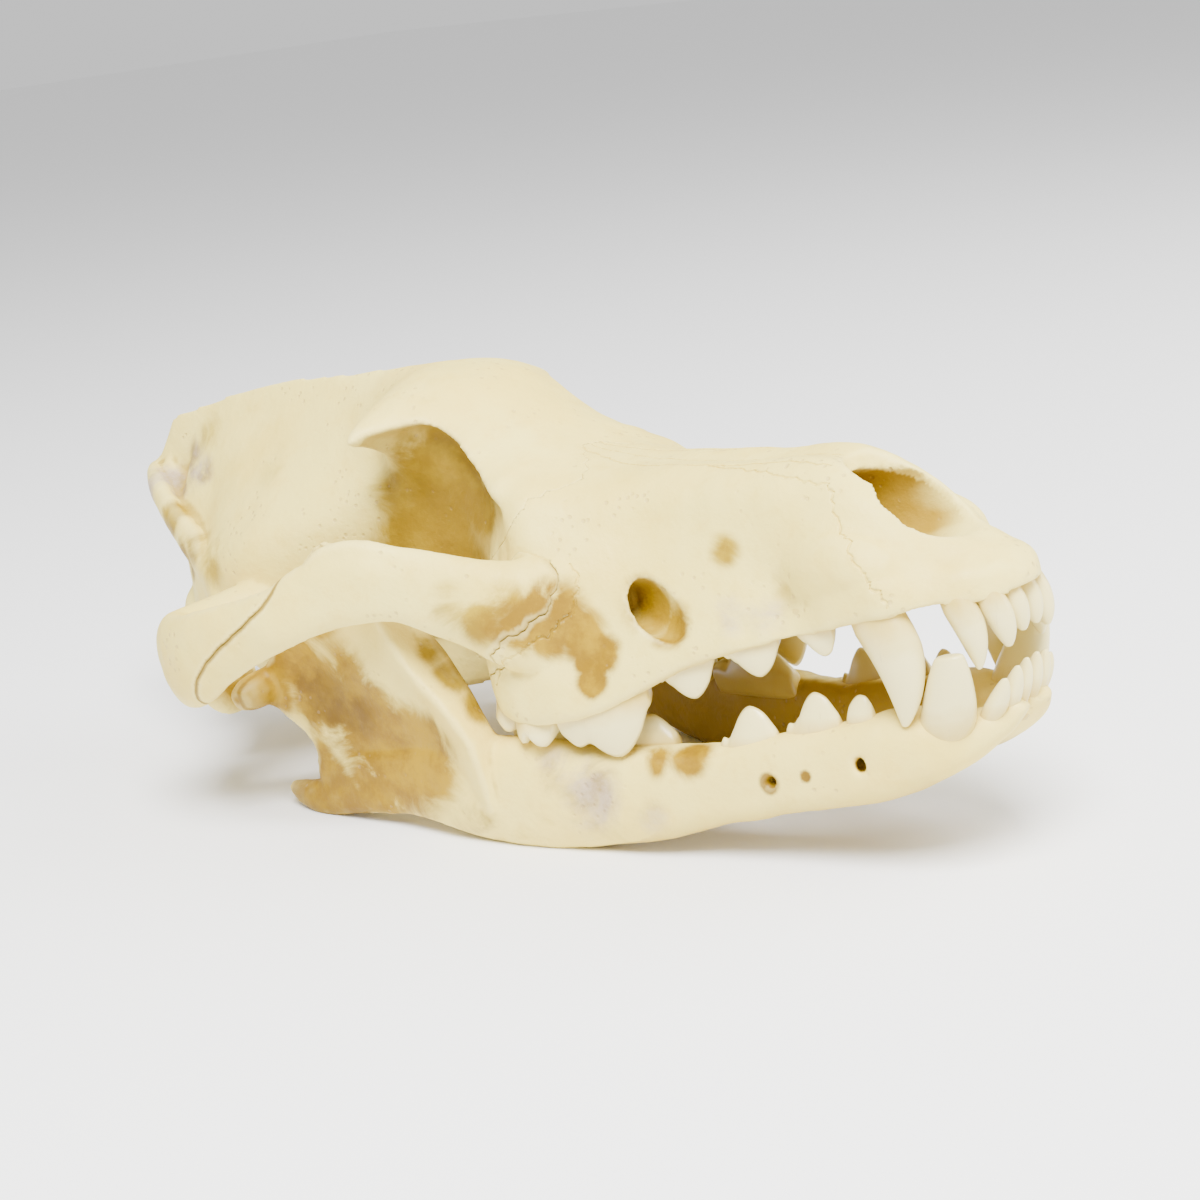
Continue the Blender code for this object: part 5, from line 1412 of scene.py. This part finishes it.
def add_floor(collection, colour_value):
    """A plain level floor far larger than the part."""
    across = np.linspace(-1, 1, FLOOR_POINTS) * FLOOR_HALF
    x, y = np.meshgrid(across, across, indexing="ij")
    index = np.arange(x.size).reshape(x.shape)
    faces = np.stack([index[:-1, :-1], index[1:, :-1], index[1:, 1:], index[:-1, 1:]], -1)
    points = np.stack([x, y, np.zeros_like(x)], -1).reshape(-1, 3)
    floor = add_mesh("floor", points, faces.reshape(-1, 4).tolist(), collection)
    material, _, _ = new_material("pale_floor", Base_Color=(*colour_value, 1), Roughness=0.9)
    floor.data.materials.append(material)


def add_camera(collection):
    """The camera at the photograph's place, set up in the skull's own frame and tipped with it."""
    azimuth, elevation, roll = np.radians((CAMERA_AZIMUTH, CAMERA_ELEVATION, CAMERA_ROLL))
    back = np.array([np.sin(azimuth) * np.cos(elevation),
                     -np.cos(azimuth) * np.cos(elevation), np.sin(elevation)])
    right = np.array([np.cos(azimuth), np.sin(azimuth), 0])
    up = np.cross(back, right)
    axes = np.array([right * np.cos(roll) + up * np.sin(roll),
                     up * np.cos(roll) - right * np.sin(roll), back])
    centre = np.array(CAMERA_TARGET)
    origin = to_row(centre)
    rows = np.array([to_row(centre + axis) - origin for axis in axes]) * 1000
    camera = bpy.data.objects.new("camera", bpy.data.cameras.new("camera"))
    camera.data.sensor_width = 36
    camera.data.lens = CAMERA_LENS
    camera.data.shift_x, camera.data.shift_y = CAMERA_SHIFT
    camera.data.clip_start = 0.01
    matrix = np.eye(4)
    matrix[:3, :3] = rows.T
    matrix[:3, 3] = to_row(centre + back * CAMERA_DISTANCE)
    camera.matrix_world = Matrix(matrix.tolist())
    collection.objects.link(camera)
    bpy.context.scene.camera = camera


class SKULL_PT_panel(bpy.types.Panel):
    """Lists the pieces of the skull and their settings."""

    bl_idname = "SKULL_PT_panel"
    bl_label = "Wolf skull"
    bl_space_type = "VIEW_3D"
    bl_region_type = "UI"
    bl_category = "Wolf skull"

    def draw(self, context):
        for group in (context.scene.skull, context.scene.skull_stage):
            column = self.layout.column()
            for key in group.__annotations__:
                column.prop(group, key)
        for step in STEPS:
            self.layout.operator(step.bl_idname)


STEPS = (SKULL_OT_cranium, SKULL_OT_jaw, SKULL_OT_teeth, SKULL_OT_stage)
CLASSES = (SkullSettings, StageSettings, *STEPS, SKULL_PT_panel)


def register():
    """Makes the settings, the operators and the panel known."""
    for cls in CLASSES:
        bpy.utils.register_class(cls)
    bpy.types.Scene.skull = bpy.props.PointerProperty(type=SkullSettings)
    bpy.types.Scene.skull_stage = bpy.props.PointerProperty(type=StageSettings)


def unregister():
    """Takes them away again."""
    del bpy.types.Scene.skull
    del bpy.types.Scene.skull_stage
    for cls in reversed(CLASSES):
        bpy.utils.unregister_class(cls)


def main():
    """Builds every piece in order."""
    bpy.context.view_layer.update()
    register()
    bpy.ops.skull.cranium()
    bpy.ops.skull.jaw()
    bpy.ops.skull.teeth()
    bpy.ops.skull.stage()


if __name__ == "__main__":
    main()
